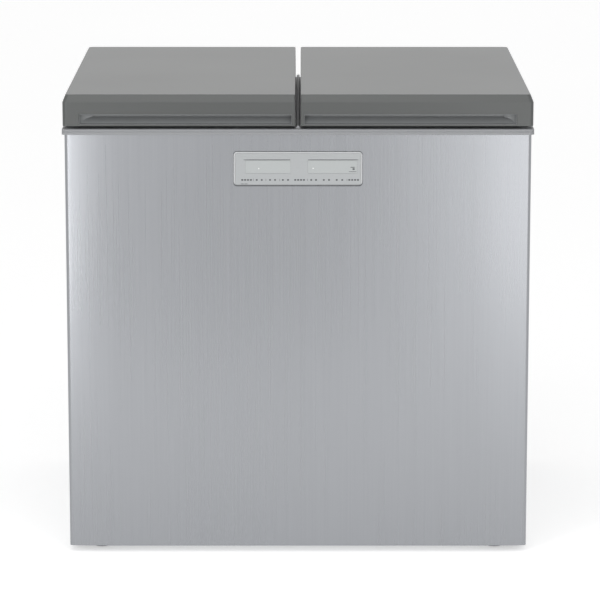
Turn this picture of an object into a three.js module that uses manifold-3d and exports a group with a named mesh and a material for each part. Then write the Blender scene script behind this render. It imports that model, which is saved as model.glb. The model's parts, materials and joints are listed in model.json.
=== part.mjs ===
// A chest kimchi refrigerator with two lids: a brushed steel cabinet on feet and rollers, two insulated tubs
// that step up over the machine room, a lid on sprung hinges over each tub, and the kimchi boxes inside.
// Millimetres, +Z up, front towards -Y, origin on the floor under the middle of the cabinet.

import * as THREE from "three";
import { mergeVertices } from "three/addons/utils/BufferGeometryUtils.js";
import Module from "manifold-3d";

const wasm = await Module();
wasm.setup();

// ---------------------------------------------------------------- driving dimensions

const seat = 0.3; // gap between pieces that rest on each other

const cabinet = {
  width: 920,
  depth: 766, // face of the front panel to face of the rear panel
  height: 930, // floor to the top of the lids
  floorGap: 13, // panels stop this far above the floor
  sheet: 1.2,
  edgeRadius: 7, // vertical edges of the front panel
  frontReturn: 24, // front panel wraps this far round each side
  flange: 14, // other panel edges turn in this far
  seam: 0.6, // joint between the front panel and a side panel
  sideInsulation: 80,
  frontInsulation: 79,
  rearInsulation: 83,
};

const collar = {
  overhang: 5, // beyond the panels, all round
  height: 11, // of the skirt that shows under the lids
  plate: 3,
  skirt: 3,
  cornerRadius: 9,
  beam: 60, // between the two mouths
  lip: 2.5, // turned down inside each mouth
  lipDepth: 13,
  lipOverlap: 1, // lips start this far inside the plate
  edge: 1.6, // round of the upper edge
  shoulder: 0.5, // middle of that round, in from either face
};

const tub = {
  wall: 2,
  floor: 222, // height of the deep floor above the ground
  ledge: 402, // height of the floor over the machine room
  ledgeLength: 296,
  ledgeRadius: 12,
  cornerRadius: 32,
  floorRadius: 22,
  flange: 12,
};

const lid = {
  height: 62,
  inset: 2, // collar edge beyond the lid, front and outer side
  gap: 11, // between the two lids
  hingeStrip: 14, // collar left bare behind the lids
  wall: 2.5,
  crownSetback: 6, // sloping band along the top of the front and outer side
  crownDrop: 15,
  topRadius: 2,
  topShoulder: 0.6, // start of that round, inside the crown's edge
  cornerRadius: 8,
  innerRadius: 2.5,
  leastOuter: 1.5, // radii that are left inside the wall
  leastInner: 0.8,
  plugDepth: 24,
  plugClearance: 10,
  plugWall: 2,
  plugSlope: 4,
  plugEdge: 2,
  stepInset: 44, // step pressed up into the plug's floor, from the plug's side
  stepRise: 3,
  linerPlate: 2,
};

const grip = {
  depth: 19, // how far fingers reach in
  height: 22,
  lowerLip: 2.5,
  outerPost: 32, // solid corner beside the grip, cabinet side
  innerPost: 6, // the same, at the gap between the lids
  sweep: 34, // length over which the outer end runs out to the face
  sweepSteps: [0.15, 0.4, 0.7, 1], // shares of the sweep's quarter turn
  straight: 0.4, // share of the depth that floor and ceiling run level
  backRise: 8, // floor's slope up to the back
  backRadius: 6,
  topRadius: 7,
  ceilingRadius: 4,
  flare: 1, // ceiling opens upwards to the back
};

const gasket = {
  height: 6, // lid underside above the collar
  width: 14,
  lip: 4, // from the mouth to the gasket
  waist: 8,
  edge: 1,
};

const hinge = {
  rearReach: 20, // lid behind the axis
  rise: 24, // axis above the collar
  endDistance: 70, // from each end of the lid
  pinRadius: 4,
  pinHeadRadius: 6.5,
  pinHead: 2,
  clearance: 0.3,
  eyeRadius: 10.5,
  plate: 2.5,
  earSpacing: 44, // between the outer faces of the bracket's ears
  leafSpacing: 36, // between the outer faces of the leaf's ears
  eyeRound: 0.98, // share of that radius on the ears' corners
  bracketInset: 3, // bracket and leaf stop short of the rear edge
  bracketCorner: 3,
  leafCorner: 2,
  leafSideGap: 1,
  pinEnd: 3,
  pinChamfer: 0.6,
  pinHeadTaper: 1,
  notchReach: 14, // free radius round the axis in the lid's notch
  notchSide: 7, // free width beside the bracket
  springWire: 2.2,
  springRadius: 7.6,
  springTurns: 6,
  springSteps: 8, // straight pieces in a turn
  springSideGap: 3, // free beside the coil, both sides together
};

const machineRoom = { depth: 335, ceilingInsulation: 80 };

const cover = {
  wall: 2,
  rim: 8, // turned in all round
  corner: 6,
  bottomGap: 12, // above the pan
  topGap: 1,
  sideGap: 4,
  louvres: 7, // in each of two columns
  pitch: 27,
  slotHeight: 9,
  slotHalfLength: 0.36, // shares of the cover's half width
  slotCentre: 0.5,
  hood: 3.6, // louvre hoods stand out
  hoodOverlap: 0.6,
  hoodTop: 4, // above the slot
  hoodLip: 2, // hood's lower edge above the slot's
  hoodSide: 2,
};

const base = { plateHeight: 42, sheet: 2, wallHeight: 50, clearance: 3, ribInset: 190, rearLip: 10, weld: 1 };

const foot = {
  radius: 22,
  disc: 12,
  stem: 6,
  height: 62,
  inset: 62,
  bossRadius: 12,
  bossHeight: 16,
  soleChamfer: 2,
  shoulder: 4, // slope from the rim up to the disc's top
  shoulderDrop: 3,
  flutes: 6,
  flute: 3.2,
  fluteBottom: 3.5,
  nut: 11, // to the corners of the hexagon
  nutHeight: 7,
};

const roller = {
  radius: 18.5,
  width: 20,
  axle: 3.5,
  inset: 62,
  rearInset: 46,
  cheek: 2.5,
  sideGap: 1.5,
  noseHalf: 7, // the cheeks' round lower ends, either side of the axle
  noseRadius: 5,
  shoulderHalf: 15,
  plateHalf: 24,
  rivet: 1.5,
  hubWall: 4,
  hubRise: 1,
  webDepth: 2.5, // web below the tyre's side
  tyreWall: 4,
  slope: 1,
  tread: 2, // round of the tyre's edges
};

const control = {
  width: 255,
  height: 70,
  cornerRadius: 7,
  top: 44, // below the collar's top
  proud: 2.6,
  rim: 3.5,
  housingDepth: 16,
  housingWall: 2,
  housingBack: 1.6,
  roomAround: 4, // foam left out round the housing
  roomBehind: 8,
  edge: 0.8, // chamfer of the bezel
  portInset: 1, // light holes inside the windows' outlines
  fascia: 1.2,
  windowHeight: 26,
  windowTop: 18,
  windowThickness: 0.8,
  leftWindow: [-104, -14],
  rightWindow: [19, 117],
};

const box = {
  sideClearance: 7, // to the tub's side walls
  endClearance: 8,
  height: 176,
  wall: 2.2,
  draft: 6,
  cornerRadius: 26,
  footRadius: 10,
  rim: 5,
  rimInset: 2, // rim inside the box's place
  rimHeight: 4,
  lidPlate: 2.2,
  lidSkirt: 9,
  lidRise: 6,
  panelInset: 26, // raised middle of the lid
  panelSlope: 4,
  valve: [[0, 0], [18, 0], [17, 3], [9, 3], [8, 5], [0, 5]],
  tabWidth: 64, // pull tabs outside the rim
  tabDrop: 15,
  tabSunk: 8, // tab's root over the lid
  tab: 2.4,
};

const evaporator = {
  tube: 4,
  turns: 4,
  first: 60,
  pitch: 72,
  cornerSteps: 2,
  cornerFall: 0.6, // share of a side's fall that its corner takes
  roomInFoam: 12, // foam left out above and below the coil
};

const gland = {
  sideInset: 60,
  rise: 40, // above the machine room
  flangeRadius: 13,
  flange: 2.7,
  noseRadius: 9,
  noseTip: 8,
  nose: 1.5,
  bore: 4.2,
};

const compressor = {
  radius: 66,
  height: 172,
  x: -225,
  rearGap: 165,
  plateHalfLength: 88,
  plateHalfWidth: 62,
  plateCorner: 12,
  footPlate: 3,
  grommet: 11, // height under the plate, and radius
  boltX: 72,
  boltY: 46,
  belly: { z: 5, height: 26 }, // lower dome, above the plate
  crown: 40,
  seam: { z: 72, height: 8, proud: 4 },
  pedestal: { radius: 40, top: 24 },
  terminal: { halfWidth: 26, sunk: 12, proud: 20, bottom: 84, top: 128 },
  stub: 5,
  discharge: { x: -14, y: -26, length: 10 },
  suction: { y: -18, z: 104, length: 14 },
};

const fan = {
  x: 30,
  radius: 58,
  tip: 4, // between the blades and the ring
  hub: 17,
  hubDepth: 17,
  blades: 5,
  frame: 146,
  plate: 4,
  ring: 18,
  ringWall: 2.5,
  corner: 12,
  shaft: 2.5,
  motor: 22,
  motorGap: 6, // behind the hub
  motorLength: 28,
  arm: { width: 7, thickness: 5, sunk: 4, angles: [60, 180, 300] },
  foot: { inset: 8, length: 30, plate: 3, overlap: 2 },
  front: 3, // hub's face behind the frame's face
  shaftFront: 7,
  hubFace: 2.5,
  hubWall: 2,
  hubTaper: 1.5,
  coreWall: 3.5,
  blade: { stations: 4, axial: 11.5, squash: 0.55, pitch: 50, untwist: 22, chord: 20, widen: 16, lean: 16 },
  clearance: 10, // frame above the pan
};

const condenser = {
  tube: 4,
  passes: 4,
  rows: 2,
  pitch: 44,
  rowPitch: 46,
  x0: 110,
  x1: 262,
  bow: 0.4, // return bends reach out by this share of the pitch
  plate: 1.5,
  plateInset: 8,
  plateMargin: 14,
  plateTop: 12,
  foot: 12,
  rise: 34, // lowest pass above the pan
  feedRise: 40,
  feedRoom: 6, // feed pipe below the machine room's ceiling
  feedReach: 24,
  bend: 12,
};

const drier = { reach: 20, pipe: 3, radius: 9.5, neck: 4, taper: 10, length: 82, lift: 12, bend: 8 };

const suctionPipe = { radius: 4.5, reach: 26, bend: 14, bendSteps: 3 };

const controlCase = {
  width: 96,
  length: 170,
  height: 34,
  cover: 14,
  coverOverhang: 2,
  corner: 5,
  sideGap: 20,
  frontGap: 40,
  entry: { reach: 8, sunk: 4, width: 18, height: 16, first: 30, pitch: 40, count: 3 },
};

// ---------------------------------------------------------------- places worked out from them

const halfWidth = cabinet.width / 2;
const frontFace = -cabinet.depth / 2;
const rearFace = cabinet.depth / 2;
const lidBottom = cabinet.height - lid.height;
const collarTop = lidBottom - gasket.height;
const collarFront = frontFace - collar.overhang;
const collarRear = rearFace + collar.overhang;
const panelTop = collarTop - collar.plate - seat;

const mouth = {
  inner: collar.beam / 2,
  outer: halfWidth - cabinet.sideInsulation,
  front: frontFace + cabinet.frontInsulation,
  rear: rearFace - cabinet.rearInsulation,
};
const mouthCentre = (mouth.inner + mouth.outer) / 2;
const ledgeFront = mouth.rear - tub.ledgeLength;

const lidHalfSpan = halfWidth + collar.overhang - lid.inset;
const lidWidth = lidHalfSpan - lid.gap / 2;
const lidCentre = (lidHalfSpan + lid.gap / 2) / 2;
const hingeY = collarRear - lid.hingeStrip - hinge.rearReach;
const hingeZ = collarTop + hinge.rise;
const hingeOffset = lidWidth / 2 - hinge.endDistance;

const roomFront = rearFace - machineRoom.depth;
const roomTop = tub.ledge - machineRoom.ceilingInsulation;
const panTop = base.plateHeight + base.sheet;
const foamBottom = base.plateHeight + base.wallHeight + seat;

// ---------------------------------------------------------------- geometry helpers

const ARC_STEPS = 2; // straight pieces in a rounded corner
const MOUTH_STEPS = 3; // the same, in the wide corners of a tub
const PIPE_SIDES = 5; // sides of a long thin tube
const OVER = 5; // how far a cutting solid runs past a face

/** A closed BufferGeometry as a solid for joining and cutting. */
function solid(geometry) {
  const bare = geometry.index ? geometry.toNonIndexed() : geometry.clone();
  const positions = new THREE.BufferGeometry().setAttribute("position", bare.getAttribute("position"));
  const merged = mergeVertices(positions, 1e-3);
  return new wasm.Manifold(
    new wasm.Mesh({
      numProp: 3,
      vertProperties: merged.attributes.position.array,
      triVerts: new Uint32Array(merged.index.array),
    }),
  );
}

/** A solid as a flat-shaded BufferGeometry. */
function geometryOf(manifold) {
  const mesh = manifold.getMesh();
  const geometry = indexed(mesh.vertProperties, mesh.triVerts).toNonIndexed();
  geometry.computeVertexNormals();
  return geometry;
}

function indexed(vertices, faces) {
  const geometry = new THREE.BufferGeometry();
  geometry.setAttribute("position", new THREE.BufferAttribute(new Float32Array(vertices), 3));
  geometry.setIndex(new THREE.BufferAttribute(new Uint32Array(faces), 1));
  return geometry;
}

const join = (...solids) => solids.reduce((a, b) => a.add(b));
const cut = (body, ...tools) => tools.reduce((a, b) => a.subtract(b), body);
const moved = (body, x, y, z) => body.translate([x, y, z]);
const point = (x, y, z) => new THREE.Vector3(x, y, z);

/** A closed outline through [u, v, radius, steps] corners; a corner without a radius stays sharp. */
function outlinePoints(corners, steps = ARC_STEPS) {
  const count = corners.length;
  return corners.flatMap(([u, v, radius = 0, arcSteps = steps], i) => {
    const corner = new THREE.Vector2(u, v);
    if (radius <= 0) return [corner];
    const before = new THREE.Vector2(...corners[(i + count - 1) % count]).sub(corner).normalize();
    const after = new THREE.Vector2(...corners[(i + 1) % count]).sub(corner).normalize();
    const half = before.angleTo(after) / 2;
    const centre = before.clone().add(after).setLength(radius / Math.sin(half)).add(corner);
    const spoke = before.clone().multiplyScalar(radius / Math.tan(half)).add(corner).sub(centre);
    const turn = Math.sign(after.cross(before)) * (Math.PI - 2 * half);
    const origin = new THREE.Vector2();
    return Array.from({ length: arcSteps + 1 }, (_, k) =>
      spoke.clone().rotateAround(origin, (turn * k) / arcSteps).add(centre),
    );
  });
}
const outline = (corners, steps) => new THREE.Shape(outlinePoints(corners, steps));

/** Points of a rectangle with rounded corners, anticlockwise from its lowest corner. */
function rectanglePoints(u0, u1, v0, v1, r, steps = ARC_STEPS) {
  const corners = [
    [u0, v0, r],
    [u1, v0, r],
    [u1, v1, r],
    [u0, v1, r],
  ];
  return outlinePoints(corners, steps);
}
const rectangle = (...values) => new THREE.Shape(rectanglePoints(...values));

const ALONG_X = new THREE.Matrix4().set(0, 0, 1, 0, 1, 0, 0, 0, 0, 1, 0, 0, 0, 0, 0, 1); // (u, v) is (y, z)
const ALONG_Y = new THREE.Matrix4().set(1, 0, 0, 0, 0, 0, -1, 0, 0, 1, 0, 0, 0, 0, 0, 1); // (u, v) is (x, z)

const extruded = (shape, length) => new THREE.ExtrudeGeometry(shape, { depth: length, bevelEnabled: false });
const alongZ = (shape, z0, z1) => moved(solid(extruded(shape, z1 - z0)), 0, 0, z0);
const alongX = (shape, x0, x1) => moved(solid(extruded(shape, x1 - x0).applyMatrix4(ALONG_X)), x0, 0, 0);
const alongY = (shape, y0, y1) => moved(solid(extruded(shape, y1 - y0).applyMatrix4(ALONG_Y)), 0, y1, 0);

const cube = solid(new THREE.BoxGeometry());

function block(x0, x1, y0, y1, z0, z1) {
  const sized = cube.scale([x1 - x0, y1 - y0, z1 - z0]);
  return moved(sized, (x0 + x1) / 2, (y0 + y1) / 2, (z0 + z1) / 2);
}

/** A round bar along an axis between two heights; it may taper to another radius at the far end. */
function bar(axis, radius, from, to, sides = 16, endRadius = radius) {
  const geometry = new THREE.CylinderGeometry(endRadius, radius, to - from, sides);
  geometry.translate(0, (from + to) / 2, 0);
  if (axis === "x") geometry.rotateZ(-Math.PI / 2);
  if (axis === "z") geometry.rotateX(Math.PI / 2);
  return solid(geometry);
}

/** A solid of revolution about an axis through [radius, height] points. */
function turned(axis, profile, sides) {
  const points = profile.map(([radius, height]) => new THREE.Vector2(radius, height));
  const geometry = new THREE.LatheGeometry(points, sides);
  if (axis === "x") geometry.rotateZ(-Math.PI / 2);
  if (axis === "z") geometry.rotateX(Math.PI / 2);
  return solid(geometry);
}

/** Faces that join rings of the same number of points, closed by two caps or, as a loop, on themselves. */
function ringFaces(rings, around, loop = false) {
  const faces = [];
  const bands = loop ? rings : rings - 1;
  for (let i = 0; i < bands; i += 1) {
    const next = ((i + 1) % rings) * around;
    for (let k = 0; k < around; k += 1) {
      const a = i * around + k;
      const b = i * around + ((k + 1) % around);
      const c = next + ((k + 1) % around);
      faces.push(a, b, c, a, c, next + k);
    }
  }
  const last = (rings - 1) * around;
  for (let k = 1; !loop && k < around - 1; k += 1) {
    faces.push(0, k + 1, k, last, last + k, last + k + 1);
  }
  return faces;
}

/** A solid through level rings, each [plan points, height]; a loop joins the last ring to the first. */
function lofted(rings, loop = false) {
  const vertices = rings.flatMap(([plan, z]) => plan.flatMap((p) => [p.x, p.y, z]));
  return solid(indexed(vertices, ringFaces(rings.length, rings[0][0].length, loop)));
}

/** A tube through points, mitred at each and closed at both ends. */
function swept(points, radius, sides = 6) {
  const last = points.length - 1;
  const legs = points.slice(1).map((p, i) => p.clone().sub(points[i]).normalize());
  let side = new THREE.Vector3(0, 0, 1);
  if (Math.abs(legs[0].z) > 0.9) side = new THREE.Vector3(1, 0, 0);
  side.addScaledVector(legs[0], -side.dot(legs[0])).normalize();
  const vertices = points.flatMap((p, i) => {
    const before = legs[Math.max(i - 1, 0)];
    const after = legs[Math.min(i, last - 1)];
    const tangent = before.clone().add(after).normalize();
    const up = new THREE.Vector3().crossVectors(before, side);
    const corners = Array.from({ length: sides }, (_, k) => {
      const angle = (2 * Math.PI * k) / sides;
      const spoke = side.clone().multiplyScalar(Math.cos(angle)).addScaledVector(up, Math.sin(angle));
      spoke.multiplyScalar(radius);
      return spoke.addScaledVector(before, -spoke.dot(tangent) / before.dot(tangent)).add(p);
    });
    side.applyQuaternion(new THREE.Quaternion().setFromUnitVectors(before, after)).normalize();
    return corners.flatMap((corner) => corner.toArray());
  });
  return solid(indexed(vertices, ringFaces(points.length, sides)));
}

/** Least gap between the parts of a tube that lie more than a bend apart along its route. */
function leastGap(points, diameter) {
  const shares = [0, 0.25, 0.5, 0.75];
  const fine = points.slice(1).flatMap((p, i) => shares.map((t) => points[i].clone().lerp(p, t)));
  const along = [0];
  for (let i = 1; i < fine.length; i += 1) along.push(along[i - 1] + fine[i].distanceTo(fine[i - 1]));
  let least = Infinity;
  fine.forEach((p, i) => {
    for (let k = i + 1; k < fine.length; k += 1) {
      if (along[k] - along[i] > 3 * diameter) least = Math.min(least, p.distanceTo(fine[k]));
    }
  });
  return least - diameter;
}

/** Points of a bent tube: each inner corner becomes a short curve. */
function bent(corners, radius, steps = 2) {
  const inner = corners.slice(1, -1).flatMap((corner, i) => {
    const start = corner.clone().add(corners[i].clone().sub(corner).setLength(radius));
    const end = corner.clone().add(corners[i + 2].clone().sub(corner).setLength(radius));
    const curve = new THREE.QuadraticBezierCurve3(start, corner, end);
    return curve.getPoints(steps);
  });
  return [corners[0], ...inner, corners[corners.length - 1]];
}

// ---------------------------------------------------------------- materials

function finish(color, roughness, metalness) {
  return new THREE.MeshStandardMaterial({ color, roughness, metalness });
}
const brushedSteel = finish(0xa4a6aa, 0.38, 0.85);
const paintedSteel = finish(0x8f9295, 0.45, 0.6);
const galvanised = finish(0x9aa0a3, 0.5, 0.8);
const lidPaint = finish(0x8b8e90, 0.4, 0.35);
const collarPlastic = finish(0xa2a5a8, 0.45, 0.1);
const linerPlastic = finish(0xdfe1e1, 0.45, 0);
const tubMetal = finish(0xc3c7ca, 0.35, 0.7);
const foamFill = finish(0xd9c38a, 0.95, 0);
const gasketRubber = finish(0x55585a, 0.7, 0);
const blackRubber = finish(0x222222, 0.8, 0);
const blackPlastic = finish(0x2b2c2e, 0.6, 0);
const greyPlastic = finish(0x6f7274, 0.55, 0);
const zincSteel = finish(0xb9b6a8, 0.35, 0.9);
const springSteel = finish(0x77797b, 0.3, 0.95);
const copper = finish(0xb87850, 0.35, 0.9);
const blackEnamel = finish(0x1c1d1f, 0.4, 0.4);
const silverPlastic = finish(0xc0c2c3, 0.35, 0.3);
const fasciaFilm = finish(0xbec1c0, 0.3, 0.2);
const displayWindow = finish(0xb4b9b8, 0.12, 0.1);
const boxPlastic = finish(0xb9bdb6, 0.35, 0);
const boxLidPlastic = finish(0x7d8783, 0.4, 0);

/** A named piece of the assembly. */
function piece(name, manifold, material) {
  const mesh = new THREE.Mesh(geometryOf(manifold), material);
  mesh.name = name;
  return mesh;
}

// ---------------------------------------------------------------- cabinet panels

/** Plan of the front panel, pulled in by an inset all round its outside. */
function frontPlan(inset) {
  const x = halfWidth - inset;
  const back = frontFace + cabinet.frontReturn;
  const radius = Math.max(cabinet.edgeRadius - inset, 1);
  return outline([
    [-x, frontFace + inset, radius],
    [x, frontFace + inset, radius],
    [x, inset > 0 ? back + OVER : back],
    [-x, inset > 0 ? back + OVER : back],
  ]);
}

const controlTop = collarTop - control.top;
const controlMiddle = controlTop - control.height / 2;

/** Rounded outline of the control panel in (x, z), pulled in by an inset. */
function controlOutline(inset) {
  const x = control.width / 2 - inset;
  const z = control.height / 2 - inset;
  const radius = Math.max(control.cornerRadius - inset, 1.5);
  return rectangle(-x, x, controlMiddle - z, controlMiddle + z, radius);
}

function frontPanel() {
  const { sheet, floorGap } = cabinet;
  const shell = cut(
    alongZ(frontPlan(0), floorGap, panelTop),
    alongZ(frontPlan(sheet), floorGap + sheet, panelTop + OVER),
  );
  return cut(shell, alongY(controlOutline(control.rim), frontFace - OVER, frontFace + OVER));
}

/** The side panel on the +X side: a sheet with three edges turned in and a tongue behind the front panel. */
function sidePanel() {
  const { sheet, floorGap, frontReturn, seam, flange } = cabinet;
  const front = frontFace + frontReturn + seam;
  const wall = block(halfWidth - sheet, halfWidth, front, rearFace, floorGap, panelTop);
  const rearFlange = block(halfWidth - flange, halfWidth, rearFace - sheet, rearFace, floorGap, panelTop);
  const floorFlange = block(halfWidth - flange, halfWidth, front, rearFace, floorGap, floorGap + sheet);
  const tongueX = halfWidth - sheet - seat;
  const tongue = join(
    block(tongueX - sheet, tongueX, front - flange, front + 2 * sheet, foamBottom, panelTop - flange),
    block(tongueX - sheet, halfWidth, front, front + 2 * sheet, foamBottom, panelTop - flange),
  );
  return join(wall, rearFlange, floorFlange, tongue);
}

const rearPanelOuter = rearFace - cabinet.sheet - seat;

/** The rear panel, stiffened by four pressed ribs. */
function rearPanel() {
  const { sheet, width, flange } = cabinet;
  const bottom = roomTop + seat;
  const middle = (panelTop + bottom) / 2;
  const rib = { count: 4, halfWidth: 17, halfHeight: 190, rise: 2.4, slope: 3, endFlat: 2, spread: 0.94 };
  const sideGap = 2;
  const x = width / 2 - flange - sideGap;
  const plate = block(-x, x, rearPanelOuter - sheet, rearPanelOuter, bottom, panelTop);
  const pressed = (inset, y0, y1) => {
    const wide = rib.halfWidth - inset;
    const high = rib.halfHeight - inset;
    return alongY(rectangle(-wide, wide, middle - high, middle + high, wide - rib.endFlat), y0, y1);
  };
  const raised = pressed(0, rearPanelOuter - sheet, rearPanelOuter + rib.rise);
  const hollow = pressed(rib.slope, rearPanelOuter - sheet - OVER, rearPanelOuter + rib.rise - sheet);
  const span = width * rib.spread;
  const places = Array.from({ length: rib.count }, (_, i) => ((i + 0.5) / rib.count - 0.5) * span);
  const added = places.map((place) => moved(raised, place, 0, 0));
  return cut(join(plate, ...added), ...places.map((place) => moved(hollow, place, 0, 0)));
}

/** Plan points of the collar, pulled in by an inset. */
function collarPlan(inset) {
  const x = halfWidth + collar.overhang - inset;
  const radius = Math.max(collar.cornerRadius - inset, 1);
  return rectanglePoints(-x, x, collarFront + inset, collarRear - inset, radius);
}

/** Plan points of the mouth on the +X side, pulled in by an inset; a negative inset grows it. */
function mouthPlan(inset) {
  const radius = tub.cornerRadius - inset;
  const { inner, outer, front, rear } = mouth;
  return rectanglePoints(inner + inset, outer - inset, front + inset, rear - inset, radius, MOUTH_STEPS);
}
const mouthSolid = (inset, z0, z1) => alongZ(new THREE.Shape(mouthPlan(inset)), z0, z1);

function topFrame() {
  const { skirt, edge, shoulder, lipOverlap } = collar;
  const bottom = collarTop - collar.height;
  const plate = lofted([
    [collarPlan(skirt), collarTop - collar.plate],
    [collarPlan(skirt), bottom],
    [collarPlan(0), bottom],
    [collarPlan(0), collarTop - edge],
    [collarPlan(shoulder), collarTop - shoulder],
    [collarPlan(edge), collarTop],
  ]);
  const lip = mouthSolid(-collar.lip, collarTop - collar.lipDepth, collarTop - lipOverlap);
  const hole = mouthSolid(0, collarTop - collar.lipDepth - OVER, collarTop + OVER);
  const withLips = join(plate, lip, lip.mirror([1, 0, 0]));
  return cut(withLips, hole, hole.mirror([1, 0, 0]));
}

// ---------------------------------------------------------------- tubs and insulation

const tubSide = collar.lip + seat; // tub wall outside the collar's lip
const tubOuter = tubSide + tub.wall;
const flangeTop = collarTop - collar.plate - seat;

/** Side view of a tub in (y, z) with its step over the machine room, grown outwards. */
function tubProfile(grow, top) {
  const front = mouth.front - tubSide - grow;
  const rear = mouth.rear + tubSide + grow;
  const step = ledgeFront + grow;
  const radius = tub.floorRadius + grow;
  return outline([
    [front, top],
    [front, tub.floor - grow, radius],
    [step, tub.floor - grow, radius],
    [step, tub.ledge - grow, Math.max(tub.ledgeRadius - grow, 2)],
    [rear, tub.ledge - grow, radius],
    [rear, top],
  ]);
}

/** The room that the tub on the +X side takes, grown outwards. */
function tubBody(grow, top) {
  const side = alongX(tubProfile(grow, top), mouth.inner - collar.beam, mouth.outer + collar.beam);
  return side.intersect(mouthSolid(-tubSide - grow, 0, top + OVER));
}

function tubShell() {
  const flange = mouthSolid(-tubSide - tub.flange, flangeTop - tub.wall, flangeTop);
  return cut(join(tubBody(tub.wall, flangeTop), flange), tubBody(0, flangeTop + OVER));
}

const evaporatorTop = collarTop - evaporator.first;
const evaporatorOff = tubOuter + evaporator.tube + seat;
const evaporatorRadius = tub.cornerRadius + evaporatorOff;
const evaporatorReach = evaporatorRadius / Math.cos(Math.PI / 4 / evaporator.cornerSteps); // to its points
const evaporatorBottom = evaporatorTop - evaporator.pitch * evaporator.turns;

/** The cooling pipe, wound round the tub on the +X side from top to bottom. */
function evaporatorCoil() {
  const { turns, pitch, cornerFall, cornerSteps: steps } = evaporator;
  const radius = evaporatorRadius;
  const x = [mouth.inner - evaporatorOff, mouth.outer + evaporatorOff];
  const y = [mouth.front - evaporatorOff, mouth.rear + evaporatorOff];
  const corners = [
    [x[1] - radius, y[0] + radius, -90],
    [x[1] - radius, y[1] - radius, 0],
    [x[0] + radius, y[1] - radius, 90],
    [x[0] + radius, y[0] + radius, 180],
  ];
  const start = point(mouthCentre, y[0], evaporatorTop);
  const points = [start];
  for (let i = 0; i < turns * corners.length; i += 1) {
    const [cx, cy, from] = corners[i % corners.length];
    for (let k = 0; k < steps; k += 1) {
      const part = (k + 0.5) / steps;
      const angle = THREE.MathUtils.degToRad(from + 90 * part);
      const level = (1 - cornerFall) / 2 + cornerFall * part;
      const drop = (pitch * (i + level)) / corners.length;
      const out = new THREE.Vector2(evaporatorReach, 0).rotateAround(new THREE.Vector2(), angle);
      points.push(point(cx + out.x, cy + out.y, evaporatorTop - drop));
    }
  }
  points.push(start.clone().setZ(evaporatorBottom));
  return swept(points, evaporator.tube, PIPE_SIDES);
}

/** The foam poured between the cabinet and the tubs, over the machine room. */
function cabinetFoam() {
  const { sheet, frontReturn, flange } = cabinet;
  const skin = 2 * sheet + 2 * seat;
  const x = halfWidth - skin;
  const top = flangeTop - tub.wall - seat;
  const seamDepth = frontFace + frontReturn + flange;
  const foam = block(-x, x, frontFace + skin, rearPanelOuter - sheet - seat, foamBottom, top);
  const room = block(-cabinet.width, cabinet.width, roomFront, rearFace, 0, roomTop - seat);
  const seamRoom = block(x - sheet - seat, cabinet.width, frontFace, seamDepth, 0, cabinet.height);
  const rearRoom = block(x - flange, cabinet.width, rearPanelOuter - 2 * sheet, rearFace, 0, cabinet.height);
  const { roomInFoam } = evaporator;
  const slab = block(0, halfWidth, frontFace, rearFace, evaporatorBottom - roomInFoam, evaporatorTop + roomInFoam);
  const jacketRadius = (evaporatorReach + evaporator.tube + seat) / Math.cos(Math.PI / 4 / MOUTH_STEPS);
  const jacket = mouthSolid(tub.cornerRadius - jacketRadius, 0, cabinet.height).intersect(slab);
  const nest = join(tubBody(tub.wall + seat, cabinet.height), jacket);
  const rightSide = join(nest, seamRoom, rearRoom);
  const recessBack = frontFace + control.housingDepth + control.roomBehind;
  const recess = alongY(controlOutline(-control.roomAround), frontFace, recessBack);
  return cut(foam, room, rightSide, rightSide.mirror([1, 0, 0]), recess);
}

// ---------------------------------------------------------------- base, machine room, feet and rollers

const footX = halfWidth - foot.inset;
const footY = frontFace + foot.inset;
const rollerX = halfWidth - roller.inset;
const rollerY = rearFace - roller.rearInset;

/** The base: a tray under the foam, open towards the back, with cross ribs and bosses for the feet. */
function basePan() {
  const { plateHeight, sheet, wallHeight, clearance, ribInset, weld } = base;
  const x = halfWidth - cabinet.flange - clearance;
  const front = frontFace + 2 * cabinet.sheet + clearance;
  const rear = rearFace - cabinet.sheet - clearance;
  const top = plateHeight + wallHeight;
  const tray = cut(
    block(-x, x, front, rear, plateHeight, top),
    block(-x + sheet, x - sheet, front + sheet, roomFront, panTop, top + OVER),
    block(-x - OVER, x + OVER, roomFront - OVER, rear + OVER, panTop, top + OVER),
  );
  const rib = (y, height) => block(-x + weld, x - weld, y, y + sheet, panTop - weld, height);
  const ribs = [rib(front + ribInset, top), rib(roomFront - OVER - sheet, top)];
  const rearLip = rib(rear - weld - sheet, panTop + base.rearLip);
  const bosses = [-footX, footX].map((side) =>
    moved(bar("z", foot.bossRadius, plateHeight, plateHeight + foot.bossHeight), side, footY, 0),
  );
  const holes = [-footX, footX].map((side) => moved(bar("z", foot.stem + seat, 0, top), side, footY, 0));
  return cut(join(tray, ...ribs, rearLip, ...bosses), ...holes);
}

/** A levelling foot: a fluted disc with a hexagon above it, on a stem that screws into the base. */
function levellingFoot() {
  const { radius, disc, stem, height, soleChamfer, shoulder, shoulderDrop, flutes, flute, fluteBottom } = foot;
  const turnedDisc = turned(
    "z",
    [
      [0, 0],
      [radius - soleChamfer, 0],
      [radius, soleChamfer],
      [radius, disc - shoulderDrop],
      [radius - shoulder, disc],
      [0, disc],
    ],
    20,
  );
  const groove = moved(bar("z", flute, fluteBottom, disc + OVER, 5), radius + flute / 3, 0, 0);
  const grooves = Array.from({ length: flutes }, (_, i) => groove.rotate([0, 0, (360 * (i + 0.5)) / flutes]));
  const nut = bar("z", foot.nut, disc - seat, disc + foot.nutHeight, 6);
  return join(cut(turnedDisc, ...grooves), nut, bar("z", stem, disc, height, 10));
}

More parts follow.
